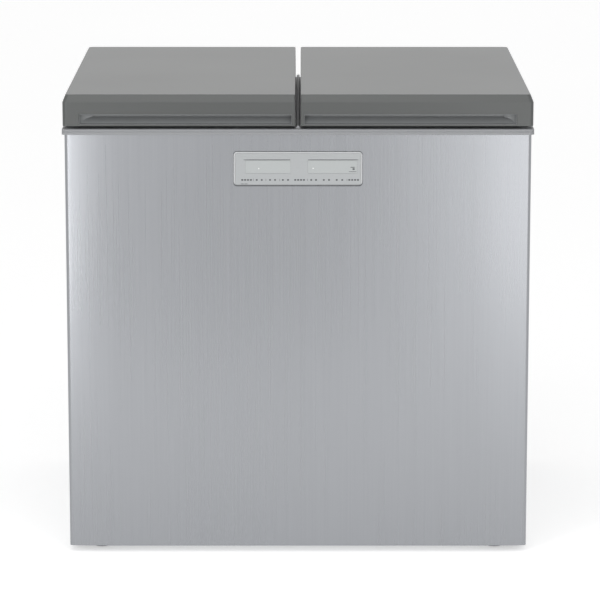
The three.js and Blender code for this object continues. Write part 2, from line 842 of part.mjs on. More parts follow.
/** A rear roller's fork with its riveted axle, about the axle's centre. */
function rollerFork() {
  const { width, sideGap, cheek, axle, radius, noseHalf, noseRadius, shoulderHalf, plateHalf, rivet } = roller;
  const half = width / 2 + sideGap;
  const top = base.plateHeight - seat - radius;
  const cheekShape = outline([
    [-noseHalf, -noseHalf, noseRadius],
    [noseHalf, -noseHalf, noseRadius],
    [shoulderHalf, top],
    [-shoulderHalf, top],
  ]);
  const cheeks = [-half - cheek, half].map((x) => alongX(cheekShape, x, x + cheek));
  const plate = block(-half - cheek, half + cheek, -plateHalf, plateHalf, top - cheek, top);
  const pin = bar("x", axle, -half - cheek - rivet, half + cheek + rivet, 10);
  return join(plate, ...cheeks, pin);
}

function rollerWheel() {
  const { radius, width, axle, hubWall, hubRise, webDepth, tyreWall, slope, tread } = roller;
  const half = width / 2;
  const side = [
    [axle + seat, half + hubRise],
    [axle + hubWall, half + hubRise],
    [axle + hubWall + slope, half - webDepth],
    [radius - tyreWall - slope, half - webDepth],
    [radius - tyreWall, half],
    [radius, half - tread],
  ];
  const profile = [...side.map(([r, h]) => [r, -h]), ...side.reverse()];
  return turned("x", [...profile, profile[0]], 16);
}

/** The louvred cover that closes the machine room at the back. */
function machineCover() {
  const { wall, rim, corner, louvres, pitch, slotHeight, hood, hoodOverlap, hoodTop, hoodLip, hoodSide } = cover;
  const bottom = panTop + cover.bottomGap;
  const top = roomTop - cover.topGap;
  const x = halfWidth - cabinet.flange - cover.sideGap;
  const inner = rearPanelOuter - wall;
  const plate = alongY(rectangle(-x, x, bottom, top, corner), inner - rim, rearPanelOuter);
  const inside = rectangle(-x + wall, x - wall, bottom + wall, top - wall, corner - wall);
  const hollow = alongY(inside, inner - rim - OVER, inner);
  const halfLength = x * cover.slotHalfLength;
  const opening = block(-halfLength, halfLength, inner - OVER, rearPanelOuter + OVER, 0, slotHeight);
  const hoodProfile = outline([
    [rearPanelOuter - hoodOverlap, slotHeight + hoodTop],
    [rearPanelOuter - hoodOverlap, slotHeight],
    [rearPanelOuter + hood, hoodLip],
    [rearPanelOuter + hood, hoodTop],
  ]);
  const hoodSolid = alongX(hoodProfile, -halfLength - hoodSide, halfLength + hoodSide);
  const first = (bottom + top - pitch * (louvres - 1) - slotHeight) / 2;
  const places = [-1, 1].flatMap((side) =>
    Array.from({ length: louvres }, (_, i) => [side * x * cover.slotCentre, first + i * pitch]),
  );
  const openings = places.map(([side, z]) => moved(opening, side, 0, z));
  const hoods = places.map(([side, z]) => moved(hoodSolid, side, 0, z));
  return join(cut(plate, hollow, ...openings), ...hoods);
}

/** The bush in the rear panel where the mains lead leaves. */
function cordGland() {
  const { sideInset, rise, flangeRadius, flange, noseRadius, noseTip, nose, bore } = gland;
  const face = rearPanelOuter + seat;
  const shoulder = face + flange;
  const round = join(
    bar("y", flangeRadius, face, shoulder, 12),
    bar("y", noseRadius, shoulder, shoulder + nose, 12, noseTip),
  );
  const hole = bar("y", bore, face - OVER, rearFace + OVER, 8);
  return moved(cut(round, hole), halfWidth - sideInset, 0, roomTop + rise);
}

const compressorY = rearFace - compressor.rearGap;
const compressorBottom = panTop + seat + compressor.grommet;

/** The hermetic compressor on its foot plate, with grommets, terminal cover and stubs, about its foot. */
function compressorPot() {
  const { radius, height, footPlate, grommet, boltX, boltY, belly, crown, seam, pedestal, stub } = compressor;
  const { terminal, discharge, suction } = compressor;
  const arc = (steps, from, to, z, rise) =>
    Array.from({ length: steps }, (_, i) => {
      const angle = THREE.MathUtils.degToRad(from + ((to - from) * (i + 1)) / (steps + 1));
      return [radius * Math.cos(angle), z + rise * Math.sin(angle)];
    });
  const low = footPlate + belly.z;
  const profile = [
    [0, low],
    ...arc(2, -90, 0, low + belly.height, belly.height),
    [radius, seam.z],
    [radius + seam.proud, seam.z],
    [radius + seam.proud, seam.z + seam.height],
    [radius, seam.z + seam.height],
    ...arc(3, 0, 90, height - crown, crown),
    [0, height],
  ];
  const { plateHalfLength: x, plateHalfWidth: y, plateCorner } = compressor;
  const plate = alongZ(rectangle(-x, x, -y, y, plateCorner), 0, footPlate);
  const web = bar("z", pedestal.radius, footPlate - seat, pedestal.top, 8);
  const bolts = [-boltX, boltX].flatMap((bx) => [-boltY, boltY].map((by) => [bx, by]));
  const bush = bar("z", grommet, -grommet, footPlate + grommet / 2, 6, grommet * 0.7);
  const grommets = bolts.map(([bx, by]) => moved(bush, bx, by, 0));
  const { halfWidth: wide, sunk, proud, bottom, top } = terminal;
  const terminalCover = block(-wide, wide, radius - sunk, radius + proud, bottom, top);
  const dischargeEnd = height + discharge.length;
  const dischargeStub = moved(bar("z", stub, height - crown / 2, dischargeEnd, 6), discharge.x, discharge.y, 0);
  const suctionStub = moved(bar("x", stub, radius - stub, radius + suction.length, 6), 0, suction.y, suction.z);
  return join(turned("z", profile, 16), plate, web, ...grommets, terminalCover, dischargeStub, suctionStub);
}

const fanHeight = fan.frame / 2 + fan.clearance;

/** Frame and ring of the condenser fan, its motor on three arms and the rotor's shaft; the axis is X. */
function fanShroud() {
  const { frame, plate, ring, ringWall, corner, radius, motor, shaft, tip, arm, foot: mounting } = fan;
  const half = frame / 2;
  const bore = radius + tip;
  const face = cut(
    join(alongX(rectangle(-half, half, -half, half, corner), 0, plate), bar("x", bore + ringWall, 0, ring, 20)),
    bar("x", bore, -OVER, ring + OVER, 20),
  );
  const motorFront = fan.hubDepth + fan.motorGap;
  const can = bar("x", motor, motorFront, motorFront + fan.motorLength, 12);
  const { width, thickness, sunk } = arm;
  const outer = bore + thickness + 1;
  const spoke = join(
    block(motorFront, motorFront + thickness, -width / 2, width / 2, motor - sunk, outer),
    block(plate - 1, motorFront + thickness, -width / 2, width / 2, outer - thickness, outer),
  );
  const spokes = arm.angles.map((angle) => spoke.rotate([angle, 0, 0]));
  const { inset, length, plate: sole, overlap } = mounting;
  const floor = seat - fanHeight;
  const footing = block(0, length, -half + inset, half - inset, floor, floor + sole);
  const web = block(0, plate, -half + inset, half - inset, floor, -half + overlap);
  const axle = bar("x", shaft, fan.shaftFront, motorFront + 1, 8);
  return join(face, can, ...spokes, axle, footing, web);
}

/** Fan rotor: a hub open towards the motor and pitched blades round the X axis. */
function fanRotor() {
  const { radius, hub, hubDepth, hubFace, hubWall, hubTaper, coreWall, blades, shaft, front } = fan;
  const back = front + hubDepth;
  const past = back + hub;
  const shell = cut(
    bar("x", hub - hubTaper, front, back, 16, hub),
    bar("x", hub - hubTaper - hubWall, front + hubFace, past, 16),
  );
  const core = bar("x", shaft + coreWall, front + 1, back - 1, 8);
  const vane = fanBlade(hub - hubTaper - 1, radius);
  const vanes = Array.from({ length: blades }, (_, i) => vane.rotate([(360 * i) / blades, 0, 0]));
  return cut(join(shell, core, ...vanes), bar("x", shaft + seat, front + coreWall, past, 8));
}

/** One blade: chord sections that widen, lean forward and flatten towards the tip. */
function fanBlade(inner, outer) {
  const { stations, axial: middle, squash, pitch: steepest, untwist, chord: narrow, widen, lean: forward } = fan.blade;
  const section = [
    [-0.5, 0],
    [0, 1],
    [0.5, 0],
    [0, -0.7],
  ];
  const vertices = Array.from({ length: stations }, (_, s) => {
    const share = s / (stations - 1);
    const r = inner + (outer - inner) * share;
    const pitch = THREE.MathUtils.degToRad(steepest - untwist * share);
    const chord = narrow + widen * Math.sin(share * 2);
    const lean = THREE.MathUtils.degToRad(forward * share);
    return section.flatMap(([u, v]) => {
      const axial = middle + u * chord * Math.sin(pitch) * squash + v * Math.cos(pitch);
      const angle = lean + (u * chord * Math.cos(pitch) - v * Math.sin(pitch)) / r;
      return [axial, r * Math.sin(angle), r * Math.cos(angle)];
    });
  }).flat();
  return solid(indexed(vertices, ringFaces(stations, section.length)));
}

const condenserY = compressorY - ((condenser.rows - 1) * condenser.rowPitch) / 2;
const condenserBottom = panTop + condenser.rise;
const condenserExit = condenser.x1 + condenser.pitch / 2 + 3 * condenser.tube;

/** Serpentine condenser between two end plates, with the discharge pipe that feeds it. */
function condenserCoil() {
  const { tube, passes, rows, pitch, rowPitch, x0, x1, plate, plateInset, plateMargin, plateTop } = condenser;
  const top = condenserBottom + pitch * (passes - 1);
  const backY = condenserY + rowPitch * (rows - 1);
  const legs = [];
  for (let row = 0; row < rows; row += 1) {
    const y = backY - rowPitch * row;
    for (let i = 0; i < passes; i += 1) {
      const level = row % 2 === 0 ? passes - 1 - i : i;
      const forward = (row * passes + i) % 2 === 1;
      const [from, to] = forward ? [x0, x1] : [x1, x0];
      const z = condenserBottom + pitch * level;
      legs.push([point(from, y, z), point(to, y, z)]);
    }
  }
  const points = legs.flatMap(([from, to], i) => {
    if (i === legs.length - 1) return [from, to];
    const next = legs[i + 1][0];
    const out = Math.sign(to.x - from.x) * condenser.bow * pitch;
    const near = to.clone().lerp(next, 0.25);
    const far = to.clone().lerp(next, 0.75);
    return [from, to, near.setX(near.x + out), far.setX(far.x + out)];
  });
  const { discharge, height } = compressor;
  const stubTop = compressorBottom + height + discharge.length + seat;
  const stub = point(compressor.x + discharge.x, compressorY + discharge.y, stubTop);
  const level = Math.min(top + condenser.feedRise, roomTop - condenser.feedRoom);
  const turnX = x1 + condenser.feedReach;
  const feed = [stub, point(stub.x, stub.y, level), point(turnX, stub.y, level), point(turnX, backY, top), points[0]];
  const exit = point(condenserExit, points[points.length - 1].y, points[points.length - 1].z);
  const coil = swept([...bent(feed, condenser.bend), ...points.slice(1), exit], tube, PIPE_SIDES);
  const [y0, y1] = [condenserY - plateMargin, backY + plateMargin];
  const floor = panTop + seat;
  const plates = [x0 + plateInset, x1 - plateInset - plate].map((x) =>
    join(
      block(x, x + plate, y0, y1, floor, top + plateTop),
      block(x - condenser.foot, x + plate, y0, y1, floor, floor + plate),
    ),
  );
  return join(coil, ...plates);
}

/** Filter drier in the liquid line, which leads up into the insulation. */
function filterDrier() {
  const { reach, pipe, radius, neck, taper, length, lift, bend } = drier;
  const y = condenserY;
  const z = condenserBottom + condenser.pitch * (condenser.passes - 1);
  const start = point(condenserExit + seat, y, z);
  const x = start.x + reach;
  const profile = [
    [0, 0],
    [neck, 0],
    [radius, taper],
    [radius, length - taper],
    [neck, length],
    [0, length],
  ];
  const route = [start, point(x, y, z), point(x, y, roomTop - 2 * seat)];
  return join(swept(bent(route, bend), pipe), moved(turned("z", profile, 12), x, y, z + lift));
}

/** Suction pipe from the insulation down to the compressor. */
function suctionLine() {
  const { suction } = compressor;
  const { radius, reach, bend, bendSteps } = suctionPipe;
  const x = compressor.x + compressor.radius + suction.length + seat;
  const start = point(x, compressorY + suction.y, compressorBottom + suction.z);
  const corner = start.clone().setX(x + reach);
  return swept(bent([start, corner, corner.clone().setZ(roomTop - 2 * seat)], bend, bendSteps), radius);
}

/** Plastic case of the main circuit board, with its cover and cable entries. */
function controlBox() {
  const { width, length, height, cover: coverHeight, coverOverhang: over, corner, entry } = controlCase;
  const x0 = halfWidth - cabinet.flange - width - controlCase.sideGap;
  const y0 = roomFront + controlCase.frontGap;
  const z0 = panTop + seat;
  const body = alongZ(rectangle(x0, x0 + width, y0, y0 + length, corner), z0, z0 + height);
  const plan = rectangle(x0 - over, x0 + width + over, y0 - over, y0 + length + over, corner + 1);
  const lidOfCase = alongZ(plan, z0 + height, z0 + height + coverHeight);
  const low = z0 + entry.reach;
  const first = y0 + entry.first;
  const socket = block(x0 - entry.reach, x0 + entry.sunk, first, first + entry.width, low, low + entry.height);
  const sockets = Array.from({ length: entry.count }, (_, i) => moved(socket, 0, entry.pitch * i, 0));
  return join(body, lidOfCase, ...sockets);
}

// ---------------------------------------------------------------- control panel

const controlFront = frontFace - control.proud;

/** A window's outline solid in the control panel, pulled in by an inset. */
function windowBlock([x0, x1], inset, y0, y1) {
  const z1 = controlTop - control.windowTop - inset;
  const z0 = controlTop - control.windowTop - control.windowHeight + inset;
  return alongY(rectangle(x0 + inset, x1 - inset, z0, z1, 2, 1), y0, y1);
}
const windows = [control.leftWindow, control.rightWindow];

/** Bezel with the housing that passes through the front panel. */
function controlBezel() {
  const { rim, edge, housingDepth, housingWall, housingBack, fascia, portInset } = control;
  const back = frontFace + housingDepth;
  const pocketBack = controlFront + fascia + 2 * seat;
  const face = join(
    alongY(controlOutline(0), controlFront + edge, frontFace - seat),
    alongY(controlOutline(edge), controlFront, controlFront + edge + seat),
  );
  const housing = alongY(controlOutline(rim + seat), frontFace - 2 * seat, back);
  const pocket = alongY(controlOutline(rim), controlFront - OVER, pocketBack);
  const inside = alongY(controlOutline(rim + seat + housingWall), pocketBack + housingBack, back + OVER);
  const ports = windows.map((range) => windowBlock(range, portInset, controlFront - OVER, pocketBack + OVER));
  return cut(join(face, housing), pocket, inside, ...ports);
}

function controlFascia() {
  const front = controlFront + seat;
  const plate = alongY(controlOutline(control.rim + seat), front, front + control.fascia);
  return cut(plate, ...windows.map((range) => windowBlock(range, 0, front - OVER, frontFace + OVER)));
}

function displayLens(range) {
  const front = controlFront + 2 * seat;
  return windowBlock(range, seat, front, front + control.windowThickness);
}

// ---------------------------------------------------------------- lids

// A lid is drawn in the frame of its hinge axis, for the lid on the +X side: +X is its outer side.

const outerSide = lidWidth / 2;
const innerSide = -lidWidth / 2;
const lidFront = collarFront + lid.inset - hingeY;
const lidUnder = lidBottom - hingeZ;
const lidTop = cabinet.height - hingeZ;

/** Plan points of a lid whose front and outer side are set back by a crown, pulled in by an inset. */
function lidPlan(inset, crown, rear) {
  const outer = Math.max(lid.cornerRadius - inset, lid.leastOuter);
  const inner = Math.max(lid.innerRadius - inset, lid.leastInner);
  return outlinePoints([
    [innerSide + inset, lidFront + inset + crown, inner],
    [outerSide - inset - crown, lidFront + inset + crown, outer],
    [outerSide - inset - crown, rear - inset, outer],
    [innerSide + inset, rear - inset, inner],
  ]);
}

/** A lid's whole body from a level up, pulled in by an inset; its rear edge is round about the hinge. */
function lidBody(inset, bottom) {
  const { crownSetback, crownDrop, topRadius, topShoulder } = lid;
  const round = hinge.rearReach - inset;
  const rear = (angle) => round * Math.cos(angle) + inset;
  const steepest = 0.97; // keeps the lowest face from lying level
  const lowest = Math.asin(Math.min(-lidUnder / round, steepest));
  const under = bottom < lidUnder ? [bottom, lidUnder] : [lidUnder];
  const top = lidTop - inset;
  return lofted([
    ...under.map((z) => [lidPlan(inset, 0, rear(lowest)), z]),
    ...[0.75, 0.5, 0.25, 0].map((share) => {
      const angle = lowest * share;
      return [lidPlan(inset, 0, rear(angle)), -round * Math.sin(angle)];
    }),
    [lidPlan(inset, 0, hinge.rearReach), top - crownDrop],
    [lidPlan(inset, crownSetback - topShoulder, hinge.rearReach), top - topRadius],
    [lidPlan(inset, crownSetback + topRadius / 2, hinge.rearReach - topRadius / 2), top],
  ]);
}

/** The hollow of the finger grip in the lid's front, grown outwards. */
function gripHollow(grow) {
  const { depth, height, lowerLip, backRise, backRadius, topRadius, ceilingRadius, flare } = grip;
  const bottom = lidUnder + lowerLip - grow;
  const top = lidUnder + lowerLip + height + grow;
  const back = lidFront + depth + grow;
  const turn = lidFront + depth * grip.straight;
  const section = outline([
    [lidFront - OVER, bottom],
    [turn, bottom, backRadius],
    [back, bottom + backRise, backRadius],
    [back, top + flare, topRadius],
    [turn, top, ceilingRadius],
    [lidFront - OVER, top - flare],
  ]);
  const x0 = innerSide + grip.innerPost - grow;
  const x1 = outerSide - grip.outerPost + grow;
  const runOut = grip.sweepSteps.map((share) => {
    const angle = (share * Math.PI) / 2;
    return [x1 - grip.sweep * (1 - Math.cos(angle)), lidFront + (depth + grow) * Math.sin(angle)];
  });
  const plan = outline([[x0, lidFront - OVER], [x1, lidFront - OVER], [x1, lidFront], ...runOut, [x0, back]]);
  return alongX(section, innerSide, outerSide).intersect(alongZ(plan, bottom - OVER, top + OVER));
}

const notchHalf = hinge.earSpacing / 2 + hinge.notchSide;

/** The notches in a lid's rear lower edge that its two hinges stand in, grown outwards. */
function hingeNotches(grow) {
  const reach = hinge.notchReach + grow;
  const half = notchHalf + grow;
  const rear = hinge.rearReach + OVER;
  const notch = block(-half, half, -reach, rear, lidUnder - OVER, reach);
  return join(moved(notch, -hingeOffset, 0, 0), moved(notch, hingeOffset, 0, 0));
}

/** Plan points of the mouth under this lid, in the lid's frame, pulled in by an inset. */
const plugPlan = (inset) => mouthPlan(inset).map((p) => new THREE.Vector2(p.x - lidCentre, p.y - hingeY));

function lidCover() {
  const hollow = cut(lidBody(lid.wall, lidUnder - OVER), gripHollow(lid.wall), hingeNotches(lid.wall));
  return cut(lidBody(0, lidUnder), hollow, gripHollow(0), hingeNotches(0));
}

/** The step in the floor of a lid's plug, from a level above the plug's lowest face, grown outwards. */
function plugStep(level, grow, below) {
  const { plugClearance, plugDepth, stepInset, stepRise } = lid;
  const inset = plugClearance + stepInset - grow;
  const z = lidUnder - plugDepth + level;
  return lofted([
    [plugPlan(inset), z - below],
    [plugPlan(inset), z],
    [plugPlan(inset + stepRise), z + stepRise],
  ]);
}

/** The liner: a flange in the cover and a dished plug that reaches down into the tub's mouth. */
function lidLiner() {
  const { wall, linerPlate, plugDepth, plugClearance, plugWall, plugSlope, plugEdge } = lid;
  const slack = wall + seat;
  const slab = block(-lidWidth, lidWidth, lidFront, hinge.rearReach, lidUnder, lidUnder + linerPlate);
  const flange = cut(lidBody(slack, lidUnder), gripHollow(slack), hingeNotches(slack)).intersect(slab);
  const low = lidUnder - plugDepth;
  const inside = plugClearance + plugWall;
  const dish = lofted([
    [plugPlan(plugClearance + plugSlope + plugEdge), low],
    [plugPlan(plugClearance + plugSlope), low + plugEdge],
    [plugPlan(plugClearance), lidUnder + linerPlate / 4],
  ]);
  const hollow = lofted([
    [plugPlan(inside + plugSlope), low + plugWall],
    [plugPlan(inside), lidUnder],
    [plugPlan(inside), lidUnder + linerPlate + OVER],
  ]);
  const raised = plugStep(plugWall, plugWall / 2, plugWall / 2);
  return cut(join(cut(join(flange, dish), hollow), raised), plugStep(0, 0, OVER));
}

/** The foam in a lid, between its cover and its liner. */
function lidFoam() {
  const { wall, linerPlate, plugDepth, plugClearance, plugWall, plugSlope } = lid;
  const slack = wall + seat;
  const floor = lidUnder + linerPlate + seat;
  const inside = plugClearance + plugWall + seat;
  const upper = lidBody(slack, lidUnder).trimByPlane([0, 0, 1], floor);
  const lower = lofted([
    [plugPlan(inside + plugSlope), lidUnder - plugDepth + plugWall + seat],
    [plugPlan(inside), lidUnder],
    [plugPlan(inside), floor + linerPlate / 2],
  ]);
  const step = plugStep(plugWall + seat, plugWall / 2 + seat, OVER);
  return cut(join(upper, lower), gripHollow(slack), hingeNotches(slack), step);
}

/** Magnetic gasket: a wide base under the lid, a narrow bellows and the bar that meets the collar. */
function lidGasket() {
  const { height, width, lip, waist, edge } = gasket;
  const top = lidUnder - seat;
  const bottom = lidUnder - height + seat;
  const middle = lip + width / 2;
  const third = (top - bottom) / 3;
  const profile = [
    [lip, top],
    [middle - waist / 2, top - third],
    [middle - waist / 2, bottom + third],
    [lip + edge, bottom],
    [lip + width - edge, bottom],
    [middle + waist / 2, bottom + third],
    [middle + waist / 2, top - third],
    [lip + width, top],
  ];
  return lofted(
    profile.map(([out, z]) => [plugPlan(-out), z]),
    true,
  );
}

// ---------------------------------------------------------------- hinges, about the hinge axis

/** An ear with a round end about the axis, from a level to the end, across x. */
function hingeEar(x0, level) {
  const { eyeRadius, eyeRound, plate } = hinge;
  const end = Math.sign(level) * -eyeRadius;
  const round = eyeRadius * eyeRound;
  const corners = [
    [-eyeRadius, level],
    [eyeRadius, level],
    [eyeRadius, end, round],
    [-eyeRadius, end, round],
  ];
  return alongX(outline(level < 0 ? corners : corners.reverse()), x0, x0 + plate);
}

/** Fixed bracket: a base plate on the collar with two ears up to the pin. */
function hingeBracket() {
  const { plate, earSpacing, eyeRadius, rise, pinRadius, clearance } = hinge;
  const floor = -rise + seat;
  const half = earSpacing / 2;
  const rear = collarRear - hingeY - hinge.bracketInset;
  const plan = rectangle(-half, half, -eyeRadius, rear, hinge.bracketCorner);
  const footing = alongZ(plan, floor, floor + plate);
  const hole = bar("x", pinRadius + clearance, -earSpacing, earSpacing, 10);
  return cut(join(hingeEar(-half, floor), hingeEar(half - plate, floor), footing), hole);
}

/** Leaf fixed under the notch's roof in the lid, with two ears down to the pin. */
function hingeLeaf() {
  const { plate, leafSpacing, notchReach, rearReach, pinRadius, clearance } = hinge;
  const half = leafSpacing / 2;
  const roof = notchReach - seat;
  const wide = notchHalf - hinge.leafSideGap;
  const rear = rearReach - hinge.bracketInset;
  const plan = rectangle(-wide, wide, -notchReach + seat, rear, hinge.leafCorner, 1);
  const strap = alongZ(plan, roof - plate, roof);
  const hole = bar("x", pinRadius + clearance, -leafSpacing, leafSpacing, 10);
  return cut(join(hingeEar(-half, roof), hingeEar(half - plate, roof), strap), hole);
}

function hingePin() {
  const { earSpacing, pinRadius, pinEnd, pinChamfer, pinHeadRadius, pinHead, pinHeadTaper } = hinge;
  const end = earSpacing / 2 + seat;
  const tip = -end - pinEnd;
  const profile = [
    [0, tip],
    [pinRadius - pinChamfer, tip],
    [pinRadius, tip + pinChamfer],
    [pinRadius, end],
    [pinHeadRadius, end],
    [pinHeadRadius - pinHeadTaper, end + pinHead],
    [0, end + pinHead],
  ];
  return turned("x", profile, 10);
}

/** Torsion spring round the pin, with one leg on the bracket's base and one under the leaf. */
function hingeSpring() {
  const { springWire, springRadius, springTurns, springSteps: steps, leafSpacing, plate, rise, notchReach } = hinge;
  const wire = springWire / 2;
  const room = leafSpacing - 2 * plate - springWire - hinge.springSideGap;
  const floor = -rise + plate + 2 * seat;
  const ceiling = notchReach - plate - 2 * seat;
  const total = springTurns * steps;
  const coil = Array.from({ length: total + 1 }, (_, i) => {
    const angle = Math.PI - (i / steps) * 2 * Math.PI;
    const x = -room / 2 + (room * i) / total;
    return point(x, springRadius * Math.cos(angle), springRadius * Math.sin(angle));
  });
  const legs = [point(-room / 2, -springRadius, floor), point(room / 2, -springRadius, ceiling)];
  const points = [legs[1], ...coil.reverse(), legs[0]];
  console.log(`hinge spring: least gap to itself ${leastGap(points, springWire).toFixed(2)} mm`);
  return swept(points, wire, PIPE_SIDES);
}

// ---------------------------------------------------------------- kimchi boxes

const boxHalfWidth = (mouth.outer - mouth.inner) / 2 - box.sideClearance;
const boxRoom = Math.min(tub.ledgeLength, ledgeFront - mouth.front); // shorter of the two places along a tub
const boxHalfLength = boxRoom / 2 - box.endClearance;
const boxTaper = (z) => ((box.height - z) * box.draft) / box.height;

/** Plan points of a box, in its own frame, pulled in from its rim by an inset. */
function boxPlan(inset) {
  const x = boxHalfWidth - inset;
  const y = boxHalfLength - inset;
  return rectanglePoints(-x, x, -y, y, Math.max(box.cornerRadius + box.rim - inset, 3));
}

function boxBody() {
  const { height, wall, rim, rimInset, rimHeight, footRadius } = box;
  const outside = (z, more = 0) => boxPlan(rim + boxTaper(z) + more);
  const inside = (z, more = 0) => boxPlan(rim + wall + boxTaper(z) + more);
  return lofted([
    [outside(0, footRadius), 0],
    [outside(0, footRadius * (1 - Math.SQRT1_2)), footRadius * (1 - Math.SQRT1_2)],
    [outside(footRadius), footRadius],
    [outside(height - rimHeight), height - rimHeight],
    [boxPlan(rimInset), height - rimHeight],
    [boxPlan(rimInset), height],
    [inside(height), height],
    [inside(footRadius + wall), footRadius + wall],
    [inside(wall, footRadius), wall],
  ]);
}

/** Box lid: a stepped plate with a sealing skirt, a raised middle, a valve and a pull tab on each side. */
function boxLid() {
  const { height, wall, rim, rimInset, lidPlate, lidSkirt, lidRise, panelInset, panelSlope, tabWidth } = box;
  const under = height + seat;
  const skirt = rim + wall + seat + boxTaper(height - lidSkirt);
  const raised = panelInset + panelSlope;
  const shell = lofted([
    [boxPlan(raised + lidPlate), under + lidRise - lidPlate],
    [boxPlan(panelInset + lidPlate), under],
    [boxPlan(skirt + lidPlate), under],
    [boxPlan(skirt + lidPlate), height - lidSkirt],
    [boxPlan(skirt), height - lidSkirt],
    [boxPlan(skirt), under],
    [boxPlan(rimInset), under],
    [boxPlan(rimInset), under + lidPlate],
    [boxPlan(panelInset), under + lidPlate],
    [boxPlan(raised), under + lidRise],
  ]);
  const valve = moved(turned("z", box.valve, 10), 0, 0, under + lidRise - seat);
  const tabAt = (reach) => {
    const [root, inner, outer] = [reach - box.tabSunk, reach - rimInset + seat, reach - rimInset + box.tab];
    const profile = outline([
      [root, under + lidPlate],
      [root, under],
      [inner, under],
      [inner, height - box.tabDrop],
      [outer, height - box.tabDrop],
      [outer, under + lidPlate],
    ]);
    return alongX(profile, -tabWidth / 2, tabWidth / 2);
  };
  const long = tabAt(boxHalfLength);
  const short = tabAt(boxHalfWidth);
  const tabs = [long, long.rotate([0, 0, 180]), short.rotate([0, 0, 90]), short.rotate([0, 0, 270])];
  return join(shell, valve, ...tabs);
}

// ---------------------------------------------------------------- assembly

const whole = new THREE.Group();

/** A group at a place, holding pieces. */
function placed(x, y, z, ...children) {
  const group = new THREE.Group();
  group.position.set(x, y, z);
  group.add(...children);
  return group;
}

const panelSolid = sidePanel();
const rightTub = tubShell();
const rightCoil = evaporatorCoil();
whole.add(
  piece("front_panel", frontPanel(), brushedSteel),
  piece("side_panel_right", panelSolid, paintedSteel),
  piece("side_panel_left", panelSolid.mirror([1, 0, 0]), paintedSteel),
  piece("rear_panel", rearPanel(), galvanised),
  piece("top_frame", topFrame(), collarPlastic),
  piece("tub_right", rightTub, tubMetal),
  piece("tub_left", rightTub.mirror([1, 0, 0]), tubMetal),
  piece("evaporator_right", rightCoil, copper),
  piece("evaporator_left", rightCoil.mirror([1, 0, 0]), copper),
  piece("cabinet_foam", cabinetFoam(), foamFill),
  piece("base_pan", basePan(), galvanised),
  piece("machine_cover", machineCover(), greyPlastic),
  piece("cord_gland", cordGland(), blackPlastic),
  piece("condenser", condenserCoil(), copper),
  piece("filter_drier", filterDrier(), copper),
  piece("suction_line", suctionLine(), copper),
  piece("control_box", controlBox(), blackPlastic),
  piece("control_bezel", controlBezel(), silverPlastic),
  piece("control_fascia", controlFascia(), fasciaFilm),
  piece("display_window_left", displayLens(control.leftWindow), displayWindow),
  piece("display_window_right", displayLens(control.rightWindow), displayWindow),
  placed(compressor.x, compressorY, compressorBottom, piece("compressor", compressorPot(), blackEnamel)),
  placed(
    fan.x,
    compressorY,
    panTop + fanHeight,
    piece("fan_shroud", fanShroud(), blackPlastic),
    piece("fan_rotor", fanRotor(), greyPlastic),
  ),
);

const sides = [
  ["left", -1],
  ["right", 1],
];
for (const [side, sign] of sides) {
  whole.add(
    placed(sign * footX, footY, 0, piece(`front_foot_${side}`, levellingFoot(), blackPlastic)),
    placed(
      sign * rollerX,
      rollerY,
      roller.radius,
      piece(`roller_fork_${side}`, rollerFork(), zincSteel),
      piece(`roller_wheel_${side}`, rollerWheel(), blackRubber),
    ),
  );

  const lidPieces = placed(
    sign * lidCentre,
    hingeY,
    hingeZ,
    piece(`lid_cover_${side}`, lidCover(), lidPaint),
    piece(`lid_liner_${side}`, lidLiner(), linerPlastic),
    piece(`lid_foam_${side}`, lidFoam(), foamFill),
    piece(`lid_gasket_${side}`, lidGasket(), gasketRubber),
  );
  lidPieces.scale.x = sign;
  const ends = [
    ["inner", -hingeOffset],
    ["outer", hingeOffset],
  ];
  for (const [end, x] of ends) {
    const hingePieces = [
      piece(`hinge_bracket_${side}_${end}`, hingeBracket(), zincSteel),
      piece(`hinge_leaf_${side}_${end}`, hingeLeaf(), zincSteel),
      piece(`hinge_pin_${side}_${end}`, hingePin(), springSteel),
    ];
    if (end === "outer") hingePieces.push(piece(`hinge_spring_${side}`, hingeSpring(), springSteel));
    lidPieces.add(placed(x, 0, 0, ...hingePieces));
  }
  whole.add(lidPieces);

  const rows = [
    ["front", (mouth.front + ledgeFront) / 2, tub.floor],
    ["rear", (ledgeFront + mouth.rear) / 2, tub.ledge],
  ];
  for (const [row, y, floor] of rows) {
    whole.add(
      placed(
        sign * mouthCentre,
        y,
        floor + seat,
        piece(`box_${row}_${side}`, boxBody(), boxPlastic),
        piece(`box_lid_${row}_${side}`, boxLid(), boxLidPlastic),
      ),
    );
  }
}

export default whole;
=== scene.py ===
"""A chest kimchi refrigerator in a plain studio, built around its packed construction model.

Metres, +Z up, front towards -Y, as in the construction. Each sub-assembly is a class that reads its places
from the construction's nodes, builds the visible pieces with fine edges and dresses them.
"""

from __future__ import annotations

import json
import logging
import math
import sys
from collections.abc import Sequence
from dataclasses import dataclass
from enum import Enum
from functools import cache

import bmesh
import bpy
from mathutils import Matrix, Vector

